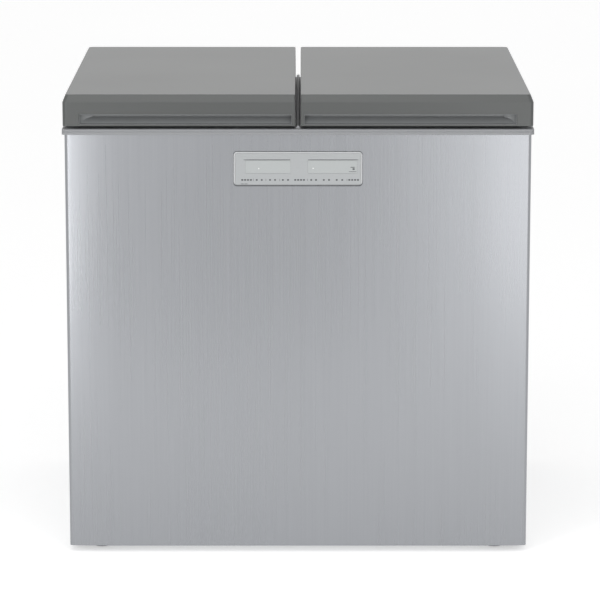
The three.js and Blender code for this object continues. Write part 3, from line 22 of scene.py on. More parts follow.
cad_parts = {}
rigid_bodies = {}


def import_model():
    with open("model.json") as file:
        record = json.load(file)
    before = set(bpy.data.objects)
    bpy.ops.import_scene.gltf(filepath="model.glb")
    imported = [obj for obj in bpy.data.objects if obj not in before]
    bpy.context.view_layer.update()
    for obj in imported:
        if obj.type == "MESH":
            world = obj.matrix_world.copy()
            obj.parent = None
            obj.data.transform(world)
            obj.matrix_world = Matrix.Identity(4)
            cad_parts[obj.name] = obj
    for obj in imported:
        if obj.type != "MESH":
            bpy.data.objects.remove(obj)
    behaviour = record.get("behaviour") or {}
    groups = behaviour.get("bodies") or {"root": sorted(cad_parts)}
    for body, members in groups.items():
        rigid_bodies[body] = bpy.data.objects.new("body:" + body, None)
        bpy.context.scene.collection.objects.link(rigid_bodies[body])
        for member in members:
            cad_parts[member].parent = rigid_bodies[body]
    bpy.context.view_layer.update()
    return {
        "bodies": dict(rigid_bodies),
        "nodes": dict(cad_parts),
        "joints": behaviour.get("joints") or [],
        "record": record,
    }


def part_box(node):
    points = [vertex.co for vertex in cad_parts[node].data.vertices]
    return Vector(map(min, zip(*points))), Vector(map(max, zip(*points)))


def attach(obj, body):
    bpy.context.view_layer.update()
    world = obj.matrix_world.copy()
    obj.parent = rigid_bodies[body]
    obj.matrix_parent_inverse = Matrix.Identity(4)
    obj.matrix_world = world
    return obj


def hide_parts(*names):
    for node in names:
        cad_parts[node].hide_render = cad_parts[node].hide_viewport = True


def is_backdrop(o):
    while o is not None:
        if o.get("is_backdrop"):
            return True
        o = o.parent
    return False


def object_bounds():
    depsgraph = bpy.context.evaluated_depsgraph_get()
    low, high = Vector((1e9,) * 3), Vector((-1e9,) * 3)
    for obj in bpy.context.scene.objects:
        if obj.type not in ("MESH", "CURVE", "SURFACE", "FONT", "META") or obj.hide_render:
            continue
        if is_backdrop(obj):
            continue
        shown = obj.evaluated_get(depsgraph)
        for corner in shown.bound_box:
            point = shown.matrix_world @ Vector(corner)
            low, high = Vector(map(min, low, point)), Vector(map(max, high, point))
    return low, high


LOG = logging.getLogger("kimchi_refrigerator")
MM = 0.001
SEAT = 0.3 * MM  # gap between pieces that rest on each other
PAST = 5 * MM  # how far a cutting shape runs past a face
SIDES = (("left", -1), ("right", 1))
HINGE_ENDS = ("inner", "outer")
ARC = 8  # straight pieces in a rounded corner
WELD = 0.002 * MM  # points closer than this become one
FLAT = math.radians(0.15)  # faces closer to level than this become one
CRISP = math.radians(32)  # faces that meet at more than this have an edge between them
SHORT = 0.7  # a line of edges has no stretch shorter than this share of its softening
COAT_ROUGHNESS = 0.12
UNSTRETCHED = (1.0, 1.0, 1.0)  # for a repeated piece that keeps its own size

Point = Sequence[float]
Plan = list[Vector]
Profile = tuple[Point, ...]  # (out, along) in millimetres from the place that at() gives it


class Axis(Enum):
    """A direction that a shape is drawn along, with the order of its (u, v, along) values."""

    X = (2, 0, 1)
    Y = (0, 2, 1)
    Z = (0, 1, 2)

    def place(self, u: float, v: float, along: float) -> Vector:
        """Return the point at (u, v) in the section and at a distance along the axis."""
        values = (u, v, along)
        return Vector(values[i] for i in self.value)


# ---------------------------------------------------------------- outlines and solids


def outline(corners: Sequence[Point], steps: int = ARC) -> Plan:
    """Draw a closed outline with rounded corners.

    Args:
        corners: (u, v) or (u, v, radius) for each corner; without a radius it stays sharp.
        steps: Straight pieces in each rounded corner.

    Returns:
        The outline's points in order.
    """
    points: Plan = []
    for i, corner in enumerate(corners):
        here = Vector(corner[:2])
        radius = corner[2] if len(corner) > 2 else 0.0
        if radius <= 0.0:
            points.append(here)
            continue
        before = (Vector(corners[i - 1][:2]) - here).normalized()
        after = (Vector(corners[(i + 1) % len(corners)][:2]) - here).normalized()
        half = before.angle(after) / 2
        middle = here + (before + after).normalized() * (radius / math.sin(half))
        spoke = here + before * (radius / math.tan(half)) - middle
        turn = math.copysign(math.pi - 2 * half, after.cross(before))
        points.extend(middle + Matrix.Rotation(turn * k / steps, 2) @ spoke for k in range(steps + 1))
    return points


def rectangle(u0: float, u1: float, v0: float, v1: float, radius: float, steps: int = ARC) -> Plan:
    """Return the points of a rectangle with rounded corners."""
    return outline([(u0, v0, radius), (u1, v0, radius), (u1, v1, radius), (u0, v1, radius)], steps)


def quarter(steps: int) -> list[tuple[float, float]]:
    """Return (still set in, already risen) up a quarter round, as shares of its radius."""
    angles = [math.pi / 2 * k / steps for k in range(steps + 1)]
    return [(1 - math.sin(angle), 1 - math.cos(angle)) for angle in angles]


def swell(steps: int) -> list[tuple[float, float]]:
    """Return (share of the way, share of the rise) along a slope that is level at both ends."""
    shares = [k / steps for k in range(steps + 1)]
    return [(share, (3 - 2 * share) * share * share) for share in shares]


def at(profile: Profile, u: float, v: float) -> list[tuple[float, float]]:
    """Return a profile in metres at a place."""
    return [(u + across * MM, v + along * MM) for across, along in profile]


@dataclass
class Solid:
    """A closed shape while it is made: points in metres, and faces as point numbers."""

    points: list[Vector]
    faces: list[tuple[int, ...]]

    def __post_init__(self) -> None:
        """Turn the faces outwards."""
        if self.volume() < 0:
            self.faces = [tuple(reversed(face)) for face in self.faces]

    def volume(self) -> float:
        """Return the enclosed volume, which is negative where the faces point inwards."""
        total = 0.0
        for face in self.faces:
            a = self.points[face[0]]
            for b, c in zip(face[1:], face[2:]):
                total += a.dot(self.points[b].cross(self.points[c]))
        return total / 6

    @classmethod
    def of_node(cls, node: str) -> Solid:
        """Return a copy of a construction node's shape."""
        mesh = bmesh.new()
        mesh.from_mesh(bpy.data.objects[node].data)
        bmesh.ops.remove_doubles(mesh, verts=mesh.verts, dist=WELD)
        mesh.verts.index_update()
        copy = cls([v.co.copy() for v in mesh.verts], [tuple(v.index for v in f.verts) for f in mesh.faces])
        mesh.free()
        return copy

    @classmethod
    def loft(cls, rings: Sequence[Sequence[Vector]], loop: bool = False) -> Solid:
        """Skin rings of the same number of points, with two end caps or as a closed loop."""
        around = len(rings[0])
        points = [Vector(p) for ring in rings for p in ring]
        faces: list[tuple[int, ...]] = []
        for i in range(len(rings) if loop else len(rings) - 1):
            low, high = i * around, ((i + 1) % len(rings)) * around
            for k in range(around):
                n = (k + 1) % around
                faces.append((low + k, low + n, high + n, high + k))
        if not loop:
            last = (len(rings) - 1) * around
            faces += [tuple(reversed(range(around))), tuple(range(last, last + around))]
        return cls(points, faces)

    @classmethod
    def levels(cls, rings: Sequence[tuple[Plan, float]], loop: bool = False) -> Solid:
        """Skin level (plan, height) rings."""
        return cls.loft([[Vector((p.x, p.y, z)) for p in plan] for plan, z in rings], loop)

    @classmethod
    def prism(cls, plan: Plan, axis: Axis, start: float, end: float) -> Solid:
        """Extrude an outline between two places along an axis."""
        return cls.loft([[axis.place(p.x, p.y, along) for p in plan] for along in (start, end)])

    @classmethod
    def block(cls, low: Point, high: Point) -> Solid:
        """Return the box between two corners."""
        plan = rectangle(low[0], high[0], low[1], high[1], 0.0)
        return cls.prism(plan, Axis.Z, low[2], high[2])

    @classmethod
    def turned(cls, profile: Sequence[Point], axis: Axis, sides: int = 48, loop: bool = False) -> Solid:
        """Spin a (radius, height) profile round an axis.

        Args:
            profile: Points from one end on the axis to the other, or a closed loop clear of it.
            axis: The axis of the turn.
            sides: Straight pieces in a full turn.
            loop: True where the profile closes on itself.

        Returns:
            The solid of revolution.
        """
        points: list[Vector] = []
        rows: list[list[int]] = []
        for radius, height in profile:
            count = 1 if radius <= WELD else sides
            first = len(points)
            for k in range(count):
                angle = 2 * math.pi * k / sides
                points.append(axis.place(radius * math.cos(angle), radius * math.sin(angle), height))
            rows.append([first + (k % count) for k in range(sides)])
        if loop:
            rows.append(rows[0])
        faces: list[tuple[int, ...]] = []
        for low, high in zip(rows, rows[1:]):
            for k in range(sides):
                n = (k + 1) % sides
                face = tuple(dict.fromkeys((low[k], low[n], high[n], high[k])))
                if len(face) > 2:
                    faces.append(face)
        return cls(points, faces)

    @classmethod
    def bar(
        cls, axis: Axis, radius: float, start: float, end: float, sides: int = 40, edge: float = 0.0
    ) -> Solid:
        """Return a round bar, with its edges broken by a small chamfer where an edge is given."""
        rim = [(radius, start), (radius, end)]
        if edge > 0:
            rim = [(radius - edge, start), (radius, start + edge), (radius, end - edge), (radius - edge, end)]
        return cls.turned([(0, start), *rim, (0, end)], axis, sides)

    @classmethod
    def swept(cls, path: Sequence[Vector], radius: float, sides: int = 14) -> Solid:
        """Skin a round tube along a path."""
        legs = [(b - a).normalized() for a, b in zip(path, path[1:])]
        side = Vector((0, 0, 1)) if abs(legs[0].z) < 0.9 else Vector((1, 0, 0))
        side = (side - legs[0] * side.dot(legs[0])).normalized()
        rings = []
        for i, here in enumerate(path):
            before, after = legs[max(i - 1, 0)], legs[min(i, len(legs) - 1)]
            tangent = (before + after).normalized()
            up = before.cross(side)
            ring = []
            for k in range(sides):
                angle = 2 * math.pi * k / sides
                spoke = (side * math.cos(angle) + up * math.sin(angle)) * radius
                ring.append(here + spoke - before * (spoke.dot(tangent) / before.dot(tangent)))
            rings.append(ring)
            side = (before.rotation_difference(after) @ side).normalized()
        return cls.loft(rings)

    def shaped(self, matrix: Matrix) -> Solid:
        """Return the shape moved, turned or mirrored by a matrix."""
        return Solid([matrix @ p for p in self.points], list(self.faces))

    def moved(self, x: float = 0.0, y: float = 0.0, z: float = 0.0) -> Solid:
        """Return the shape moved."""
        return self.shaped(Matrix.Translation((x, y, z)))

    def rotated(self, degrees: float, axis: Axis) -> Solid:
        """Return the shape turned about an axis through the origin."""
        return self.shaped(Matrix.Rotation(math.radians(degrees), 4, axis.name))

    def on_side(self, sign: int) -> Solid:
        """Return the shape as it is for the right side, or mirrored for the left side."""
        return self if sign > 0 else self.shaped(Matrix.Diagonal((-1, 1, 1, 1)))

    def mesh(self, name: str) -> bpy.types.Mesh:
        """Return the shape as mesh data."""
        mesh = bpy.data.meshes.new(name)
        mesh.from_pydata([tuple(p) for p in self.points], [], self.faces)
        mesh.update()
        return mesh

    def _combined(self, tools: Sequence[Solid], operation: str) -> Solid:
        """Return the result of joining, cutting or intersecting with each tool in turn."""
        scratch = [bpy.data.objects.new("scratch", shape.mesh("scratch")) for shape in (self, *tools)]
        for thing in scratch:
            bpy.context.scene.collection.objects.link(thing)
        target = scratch[0]
        for tool in scratch[1:]:
            modifier = target.modifiers.new("combine", "BOOLEAN")
            modifier.object = tool
            modifier.operation = operation
            modifier.solver = "MANIFOLD"
        evaluated = target.evaluated_get(bpy.context.evaluated_depsgraph_get())
        result = evaluated.to_mesh()
        points = [v.co.copy() for v in result.vertices]
        faces = [tuple(p.vertices) for p in result.polygons]
        evaluated.to_mesh_clear()
        for thing in scratch:
            data = thing.data
            bpy.data.objects.remove(thing)
            bpy.data.meshes.remove(data)
        if not faces:
            raise ValueError(f"a {operation.lower()} of {len(tools)} shapes left nothing")
        return Solid(points, faces)

    def join(self, *tools: Solid) -> Solid:
        """Return the union with other shapes."""
        return self._combined(tools, "UNION")

    def cut(self, *tools: Solid) -> Solid:
        """Return what is left outside other shapes."""
        return self._combined(tools, "DIFFERENCE")

    def within(self, *tools: Solid) -> Solid:
        """Return what is left inside other shapes."""
        return self._combined(tools, "INTERSECT")


@dataclass(frozen=True)
class Extent:
    """The box that construction nodes take."""

    x0: float
    x1: float
    y0: float
    y1: float
    z0: float
    z1: float

    @classmethod
    def of(cls, *nodes: str) -> Extent:
        """Measure the box of one or more nodes."""
        boxes = [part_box(node) for node in nodes]
        low = [min(b[0][i] for b in boxes) for i in range(3)]
        high = [max(b[1][i] for b in boxes) for i in range(3)]
        return cls(low[0], high[0], low[1], high[1], low[2], high[2])

    @property
    def centre(self) -> Vector:
        """The middle of the box."""
        return Vector(((self.x0 + self.x1) / 2, (self.y0 + self.y1) / 2, (self.z0 + self.z1) / 2))


# ---------------------------------------------------------------- node trees


class Signal:
    """A socket that takes part in arithmetic: an expression on signals adds its Math nodes."""

    def __init__(self, tree: Tree, socket: bpy.types.NodeSocket) -> None:
        """Wrap an output socket of a tree."""
        self.tree = tree
        self.socket = socket

    def math(self, operation: str, *others: Signal | float, first: float | None = None) -> Signal:
        """Add a Math node.

        Args:
            operation: The node's operation.
            others: Its further inputs.
            first: A number that goes before this signal, for reflected operators.

        Returns:
            The node's result.
        """
        values = [self, *others] if first is None else [first, self]
        made = self.tree.node("ShaderNodeMath", {"operation": operation}, dict(enumerate(values)))
        return Signal(self.tree, made.outputs[0])

    def __add__(self, other: Signal | float) -> Signal:
        """Return the sum."""
        return self.math("ADD", other)

    __radd__ = __add__

    def __sub__(self, other: Signal | float) -> Signal:
        """Return the difference."""
        return self.math("SUBTRACT", other)

    def __rsub__(self, other: float) -> Signal:
        """Return a number less this signal."""
        return self.math("SUBTRACT", first=other)

    def __mul__(self, other: Signal | float) -> Signal:
        """Return the product."""
        return self.math("MULTIPLY", other)

    __rmul__ = __mul__

    def rises(self, low: float, high: float) -> Signal:
        """Return a smooth step from 0 at low to 1 at high."""
        made = self.tree.node(
            "ShaderNodeMapRange",
            {"interpolation_type": "SMOOTHSTEP"},
            {"Value": self, "From Min": low, "From Max": high},
        )
        return Signal(self.tree, made.outputs["Result"])


class Tree:
    """A node tree under construction."""

    def __init__(self, nodes: bpy.types.NodeTree) -> None:
        """Wrap a tree."""
        self.nodes = nodes

    def node(
        self,
        kind: str,
        settings: dict[str, object] | None = None,
        inputs: dict[str | int, object] | None = None,
    ) -> bpy.types.Node:
        """Add a node.

        Args:
            kind: The node's type name.
            settings: Its own settings, which are set first.
            inputs: Values, signals or sockets for its input sockets, by name or number.

        Returns:
            The node.
        """
        made = self.nodes.nodes.new(kind)
        for name, value in (settings or {}).items():
            setattr(made, name, value)
        for name, value in (inputs or {}).items():
            socket = made.inputs[name]
            if isinstance(value, Signal):
                self.nodes.links.new(value.socket, socket)
            elif isinstance(value, bpy.types.NodeSocket):
                self.nodes.links.new(value, socket)
            else:
                socket.default_value = value
        return made


class Shader(Tree):
    """A material's tree, with the coordinates and patterns that the finishes share."""

    def __init__(self, material: bpy.types.Material) -> None:
        """Clear a material's tree and read the object coordinates."""
        material.use_nodes = True
        super().__init__(material.node_tree)
        self.nodes.nodes.clear()
        self.place = self.node("ShaderNodeTexCoord").outputs["Object"]

    def _stretched(self, scale: Point) -> bpy.types.NodeSocket:
        """Return the coordinates scaled along each axis."""
        ends = {0: self.place, 1: scale}
        return self.node("ShaderNodeVectorMath", {"operation": "MULTIPLY"}, ends).outputs[0]

    def noise(self, scale: Point | float, detail: float = 2.0, distortion: float = 0.0) -> Signal:
        """Return smooth noise from 0 to 1, with its grains per metre along each axis."""
        if isinstance(scale, (int, float)):
            scale = (scale, scale, scale)
        inputs = {"Vector": self._stretched(scale), "Scale": 1.0, "Detail": detail, "Distortion": distortion}
        return Signal(self, self.node("ShaderNodeTexNoise", {}, inputs).outputs[0])

    def cells(self, scale: float) -> tuple[Signal, Signal]:
        """Return the distance to the nearest cell centre, and a number that each cell has of its own."""
        inputs = {"Vector": self._stretched((scale,) * 3), "Scale": 1.0}
        made = self.node("ShaderNodeTexVoronoi", {}, inputs)
        split = self.node("ShaderNodeSeparateColor", {}, {0: made.outputs["Color"]})
        return Signal(self, made.outputs["Distance"]), Signal(self, split.outputs[0])

    def mix(self, share: Signal | float, low: Point, high: Point) -> bpy.types.NodeSocket:
        """Return a colour between two colours in display values."""
        ends = {0: share, 6: (*linear(low), 1.0), 7: (*linear(high), 1.0)}
        return self.node("ShaderNodeMix", {"data_type": "RGBA"}, ends).outputs[2]

    def bump(self, height: Signal, size: float) -> bpy.types.NodeSocket:
        """Return a normal for a relief of a size in metres."""
        inputs = {"Strength": 1.0, "Distance": size, "Height": height}
        return self.node("ShaderNodeBump", {}, inputs).outputs[0]


def linear(colour: Point) -> tuple[float, ...]:
    """Return a colour in display values as scene values."""
    return tuple(c / 12.92 if c <= 0.04045 else ((c + 0.055) / 1.055) ** 2.4 for c in colour)


def tinted(colour: Point, factor: float) -> tuple[float, ...]:
    """Return a colour in display values, lighter or darker by a factor."""
    return tuple(min(c * factor, 1.0) for c in colour)


# ---------------------------------------------------------------- finishes

Varied = tuple[bpy.types.NodeSocket, Signal, Signal]  # colour, swing of the gloss about its middle, relief


@dataclass(frozen=True)
class Finish:
    """A surface: its colour in display values, its gloss, and how far colour and gloss drift over it."""

    slot: str
    colour: tuple[float, float, float]
    roughness: float
    metallic: float = 0.0
    coat: float = 0.0
    drift: float = 0.03  # share by which the colour drifts
    wear: float = 0.05  # by how much the roughness drifts
    grain: float = 600.0  # grains per metre
    relief: float = 0.01 * MM

    @cache
    def material(self) -> bpy.types.Material:
        """Make the material once: the shader's fixed values and what this finish varies."""
        material = bpy.data.materials.new(f"{self.slot}_{type(self).__name__.lower()}")
        tree = Shader(material)
        colour, gloss, height = self.varied(tree)
        inputs = {
            "Base Color": colour,
            "Metallic": self.metallic,
            "Roughness": self.roughness + gloss * self.wear,
            "Normal": tree.bump(height, self.relief),
            "Coat Weight": self.coat,
            "Coat Roughness": COAT_ROUGHNESS,
            **self.fixed(),
        }
        shader = tree.node("ShaderNodeBsdfPrincipled", {}, inputs)
        tree.node("ShaderNodeOutputMaterial", {}, {"Surface": shader.outputs[0]})
        return material

    def fixed(self) -> dict[str, object]:
        """Return further values that are the same all over."""
        return {}

    def tones(self, tree: Shader, share: Signal) -> bpy.types.NodeSocket:
        """Return the colour as it drifts from darker to lighter."""
        return tree.mix(share, tinted(self.colour, 1 - self.drift), tinted(self.colour, 1 + self.drift))

    def varied(self, tree: Shader) -> Varied:
        """Return a soft drift of tone and gloss, and a fine moulded grain."""
        cloud = tree.noise(7.0, 3.0)
        grain = tree.noise(self.grain, 2.0)
        return self.tones(tree, cloud * 0.6 + grain * 0.4), cloud - 0.5, grain


@dataclass(frozen=True)
class Brushed(Finish):
    """Steel with fine hairlines that run up and down, under a clear satin coat."""

    line_width: float = 0.35 * MM
    line_length: float = 160 * MM

    def varied(self, tree: Shader) -> Varied:
        """Return hairlines of two widths over a soft drift."""
        across, along = 1 / self.line_width, 1 / self.line_length
        lines = tree.noise((across, across, along), 2.0)
        streaks = tree.noise((across / 9, across / 9, along / 3), 3.0)
        cloud = tree.noise(2.2, 2.0)
        tone = lines * 0.45 + streaks * 0.35 + cloud * 0.2
        return self.tones(tree, tone), streaks + cloud - 1.0, lines * 0.7 + streaks * 0.3


@dataclass(frozen=True)
class Painted(Finish):
    """Sprayed paint: a fine sparkle in the colour and the slight waves of orange peel."""

    peel: float = 260.0  # waves per metre

    def varied(self, tree: Shader) -> Varied:
        """Return flakes, a soft drift and orange peel."""
        flakes = tree.noise(self.grain * 4, 1.0)
        cloud = tree.noise(3.0, 2.0)
        peel = tree.noise(self.peel, 1.5)
        return self.tones(tree, flakes * 0.55 + cloud * 0.45), cloud - 0.5, peel * 0.8 + flakes * 0.2


@dataclass(frozen=True)
class Stucco(Finish):
    """Aluminium sheet rolled with a pebbled pattern."""

    pebble: float = 210.0  # pebbles per metre
    fine_wear: float = 0.05

    def varied(self, tree: Shader) -> Varied:
        """Return rounded pebbles, darker and duller in the valleys between them; the darker tone in the
        valleys is painted shade.
        """
        raised = tree.noise(self.pebble, 1.0, 0.6).rises(0.36, 0.62)
        fine = tree.noise(self.grain, 2.0)
        gloss = 1 - raised + (fine - 0.5) * (self.fine_wear / self.wear)
        # the colour follows the pebbles' height: darker in the valleys, as painted shade
        return self.tones(tree, raised), gloss, raised + fine * 0.04


@dataclass(frozen=True)
class Spangled(Finish):
    """Zinc-coated sheet with its pattern of crystals."""

    crystal: float = 95.0  # crystals per metre

    def varied(self, tree: Shader) -> Varied:
        """Return a tone and gloss for each crystal, with feathered edges."""
        distance, own = tree.cells(self.crystal)
        feather = tree.noise(self.grain, 3.0)
        tone = own * 0.7 + feather * 0.2 + distance * 0.1
        return self.tones(tree, tone), own - 0.5, feather * 0.6 + distance * 0.4


@dataclass(frozen=True)
class Tarnished(Finish):
    """Bare drawn metal that has darkened in patches."""

    dark: tuple[float, float, float] = (0.3, 0.2, 0.15)

    def varied(self, tree: Shader) -> Varied:
        """Return patches of the darker tone, duller than the rest."""
        patches = tree.noise(38.0, 4.0).rises(0.42, 0.75)
        fine = tree.noise(self.grain, 2.0)
        return tree.mix(patches * 0.7 + fine * 0.15, self.colour, self.dark), patches, fine


@dataclass(frozen=True)
class Milky(Finish):
    """Translucent moulded plastic that lets some light into its wall."""

    depth: float = 6 * MM
    share: float = 0.35

    def fixed(self) -> dict[str, object]:
        """Return how far light goes into the wall."""
        radius = (self.depth, self.depth, self.depth * 0.8)
        return {"Subsurface Weight": self.share, "Subsurface Radius": radius, "Subsurface Scale": 1.0}


class Surface:
    """The finishes of this refrigerator's pieces."""

    STEEL = Brushed(
        "brushed_steel_front",
        (0.595, 0.602, 0.616),
        0.28,
        metallic=1.0,
        coat=0.15,
        drift=0.05,
        relief=0.012 * MM,
    )
    SIDE = Painted("painted_steel", (0.60, 0.61, 0.62), 0.38, metallic=0.25, coat=0.1, relief=0.02 * MM)
    ZINC_SHEET = Spangled("galvanised_steel", (0.68, 0.70, 0.71), 0.42, metallic=0.85, drift=0.07, wear=0.14)
    COLLAR = Finish("collar_plastic", (0.60, 0.605, 0.615), 0.42, drift=0.02, grain=1500.0)
    TUB = Stucco(
        "tub_aluminium", (0.80, 0.815, 0.825), 0.30, metallic=0.9, wear=0.18, grain=1800.0, relief=0.12 * MM
    )
    COPPER = Tarnished("copper_pipe", (0.80, 0.52, 0.40), 0.32, metallic=1.0, wear=0.2, relief=0.008 * MM)
    FOAM = Finish("insulation_foam", (0.86, 0.78, 0.56), 0.9, drift=0.08, grain=320.0, relief=0.4 * MM)
    GREY = Finish("grey_plastic", (0.45, 0.46, 0.47), 0.5, drift=0.04, grain=1400.0, relief=0.02 * MM)
    BLACK = Finish("black_plastic", (0.13, 0.13, 0.14), 0.5, drift=0.08, grain=1400.0, relief=0.02 * MM)
    SILVER = Painted("silver_plastic", (0.78, 0.785, 0.79), 0.26, metallic=0.35, coat=0.2, drift=0.02)
    FASCIA = Painted("fascia_film", (0.70, 0.71, 0.715), 0.36, metallic=0.2, drift=0.015)
    WINDOW = Finish("display_window", (0.74, 0.755, 0.755), 0.10, coat=0.5, drift=0.01, relief=0.002 * MM)
    # also paints the shadow lines along the windows' top edges
    INK = Finish("fascia_film", (0.30, 0.31, 0.32), 0.5, drift=0.04, relief=0.004 * MM)
    # a small white dot in each window
    LAMP = Finish("display_window", (0.93, 0.935, 0.93), 0.15, coat=0.3, drift=0.01, relief=0.002 * MM)
    ENAMEL = Painted("black_enamel", (0.10, 0.10, 0.11), 0.3, coat=0.4, drift=0.08, relief=0.03 * MM)
    ZINC = Tarnished("zinc_steel", (0.76, 0.76, 0.73), 0.34, metallic=1.0, wear=0.1, dark=(0.60, 0.60, 0.55))
    SPRING = Tarnished(
        "spring_steel", (0.55, 0.56, 0.57), 0.3, metallic=1.0, wear=0.12, dark=(0.25, 0.25, 0.26)
    )
    TYRE = Finish(
        "black_rubber", (0.11, 0.11, 0.11), 0.75, drift=0.1, wear=0.1, grain=900.0, relief=0.03 * MM
    )
    # also dresses the control panel's dark seal, which is painted shade
    GASKET = Finish("gasket_rubber", (0.36, 0.37, 0.38), 0.6, wear=0.08, grain=1200.0)
    LID = Painted(
        "lid_paint", (0.335, 0.343, 0.340), 0.38, metallic=0.1, coat=0.12, drift=0.02, relief=0.006 * MM
    )
    # paler than the lid paint: painted light for the finger grip's shaded recess
    GRIP = Painted("silver_plastic", (0.50, 0.508, 0.512), 0.34, metallic=0.1, drift=0.01, relief=0.004 * MM)
    LINER = Finish("liner_plastic", (0.88, 0.885, 0.885), 0.35, drift=0.01, grain=500.0, relief=0.006 * MM)
    BOX = Milky("box_plastic", (0.80, 0.82, 0.79), 0.3, drift=0.02, grain=700.0, relief=0.006 * MM)
    BOX_LID = Finish("box_lid_plastic", (0.50, 0.545, 0.525), 0.36, coat=0.1, drift=0.02, grain=1200.0)


FINISHES = [value for name, value in vars(Surface).items() if name.isupper()]
BY_SLOT = {finish.slot: finish for finish in reversed(FINISHES)}


# ---------------------------------------------------------------- finished pieces


def applied(thing: bpy.types.Object) -> None:
    """Turn an object's modifiers into its mesh."""
    evaluated = thing.evaluated_get(bpy.context.evaluated_depsgraph_get())
    result = bpy.data.meshes.new_from_object(evaluated)
    thing.modifiers.clear()
    old = thing.data
    thing.data = result
    bpy.data.meshes.remove(old)
    result.name = thing.name


def edge_lines(mesh: bmesh.types.BMesh, shortest: float) -> list[bmesh.types.BMEdge]:
    """Find the crisp outward edges of a mesh, as whole lines.

    Args:
        mesh: The mesh.
        shortest: A line with a stretch shorter than this is left out.

    Returns:
        The edges of the lines.
    """
    crisp = [e for e in mesh.edges if len(e.link_faces) == 2 and e.calc_face_angle_signed() > CRISP]
    meeting: dict[bmesh.types.BMVert, list[bmesh.types.BMEdge]] = {}
    for edge in crisp:
        for corner in edge.verts:
            meeting.setdefault(corner, []).append(edge)
    found: list[bmesh.types.BMEdge] = []
    seen: set[bmesh.types.BMEdge] = set()
    for first in crisp:
        line = [] if first in seen else [first]
        seen.add(first)
        for edge in line:
            for corner in edge.verts:
                ahead = [e for e in meeting[corner] if e not in seen] if len(meeting[corner]) == 2 else []
                line += ahead
                seen.update(ahead)
        if line and min(edge.calc_length() for edge in line) >= shortest:
            found += line
    return found


def smoothed(name: str, solid: Solid, soften: float = 0.0) -> bpy.types.Object:
    """Make an object from a solid, with broken outward edges and smooth shading between its crisp ones.

    Args:
        name: The object's name.
        solid: Its shape, in place.
        soften: Radius of its outward edges; 0 where the shape has them already.

    Returns:
        The object.
    """
    thing = bpy.data.objects.new(name, solid.mesh(name))
    bpy.context.scene.collection.objects.link(thing)
    mesh = bmesh.new()
    mesh.from_mesh(thing.data)
    bmesh.ops.remove_doubles(mesh, verts=mesh.verts, dist=WELD)
    bmesh.ops.dissolve_limit(mesh, angle_limit=FLAT, verts=mesh.verts, edges=mesh.edges, delimit={"NORMAL"})
    lines = edge_lines(mesh, soften * SHORT) if soften > 0 else []
    if lines:
        shape = {"segments": 2, "profile": 0.5, "affect": "EDGES", "loop_slide": False}
        bmesh.ops.bevel(mesh, geom=lines, offset=soften, offset_type="OFFSET", **shape)
    for face in mesh.faces:
        face.smooth = True
    mesh.to_mesh(thing.data)
    mesh.free()
    thing.data.set_sharp_from_angle(angle=CRISP)
    weigh = thing.modifiers.new("weigh", "WEIGHTED_NORMAL")
    weigh.keep_sharp = True
    applied(thing)
    return thing


def dressed(
    thing: bpy.types.Object, finish: Finish, body: str, stands_for: Sequence[str] = ()
) -> bpy.types.Object:
    """Give an object its material and its body, and hide the nodes that it stands for."""
    thing.data.materials.clear()
    thing.data.materials.append(finish.material())
    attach(thing, body)
    if stands_for:
        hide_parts(*stands_for)
    LOG.info("%s: %d faces, rides on %s", thing.name, len(thing.data.polygons), body)
    return thing


def piece(
    name: str, solid: Solid, finish: Finish, body: str, stands_for: Sequence[str] = (), soften: float = 0.0
) -> bpy.types.Object:
    """Make a finished piece from a solid, with its surface, its body and the nodes that it stands for."""
    return dressed(smoothed(name, solid, soften), finish, body, stands_for)


# ---------------------------------------------------------------- repeated pieces


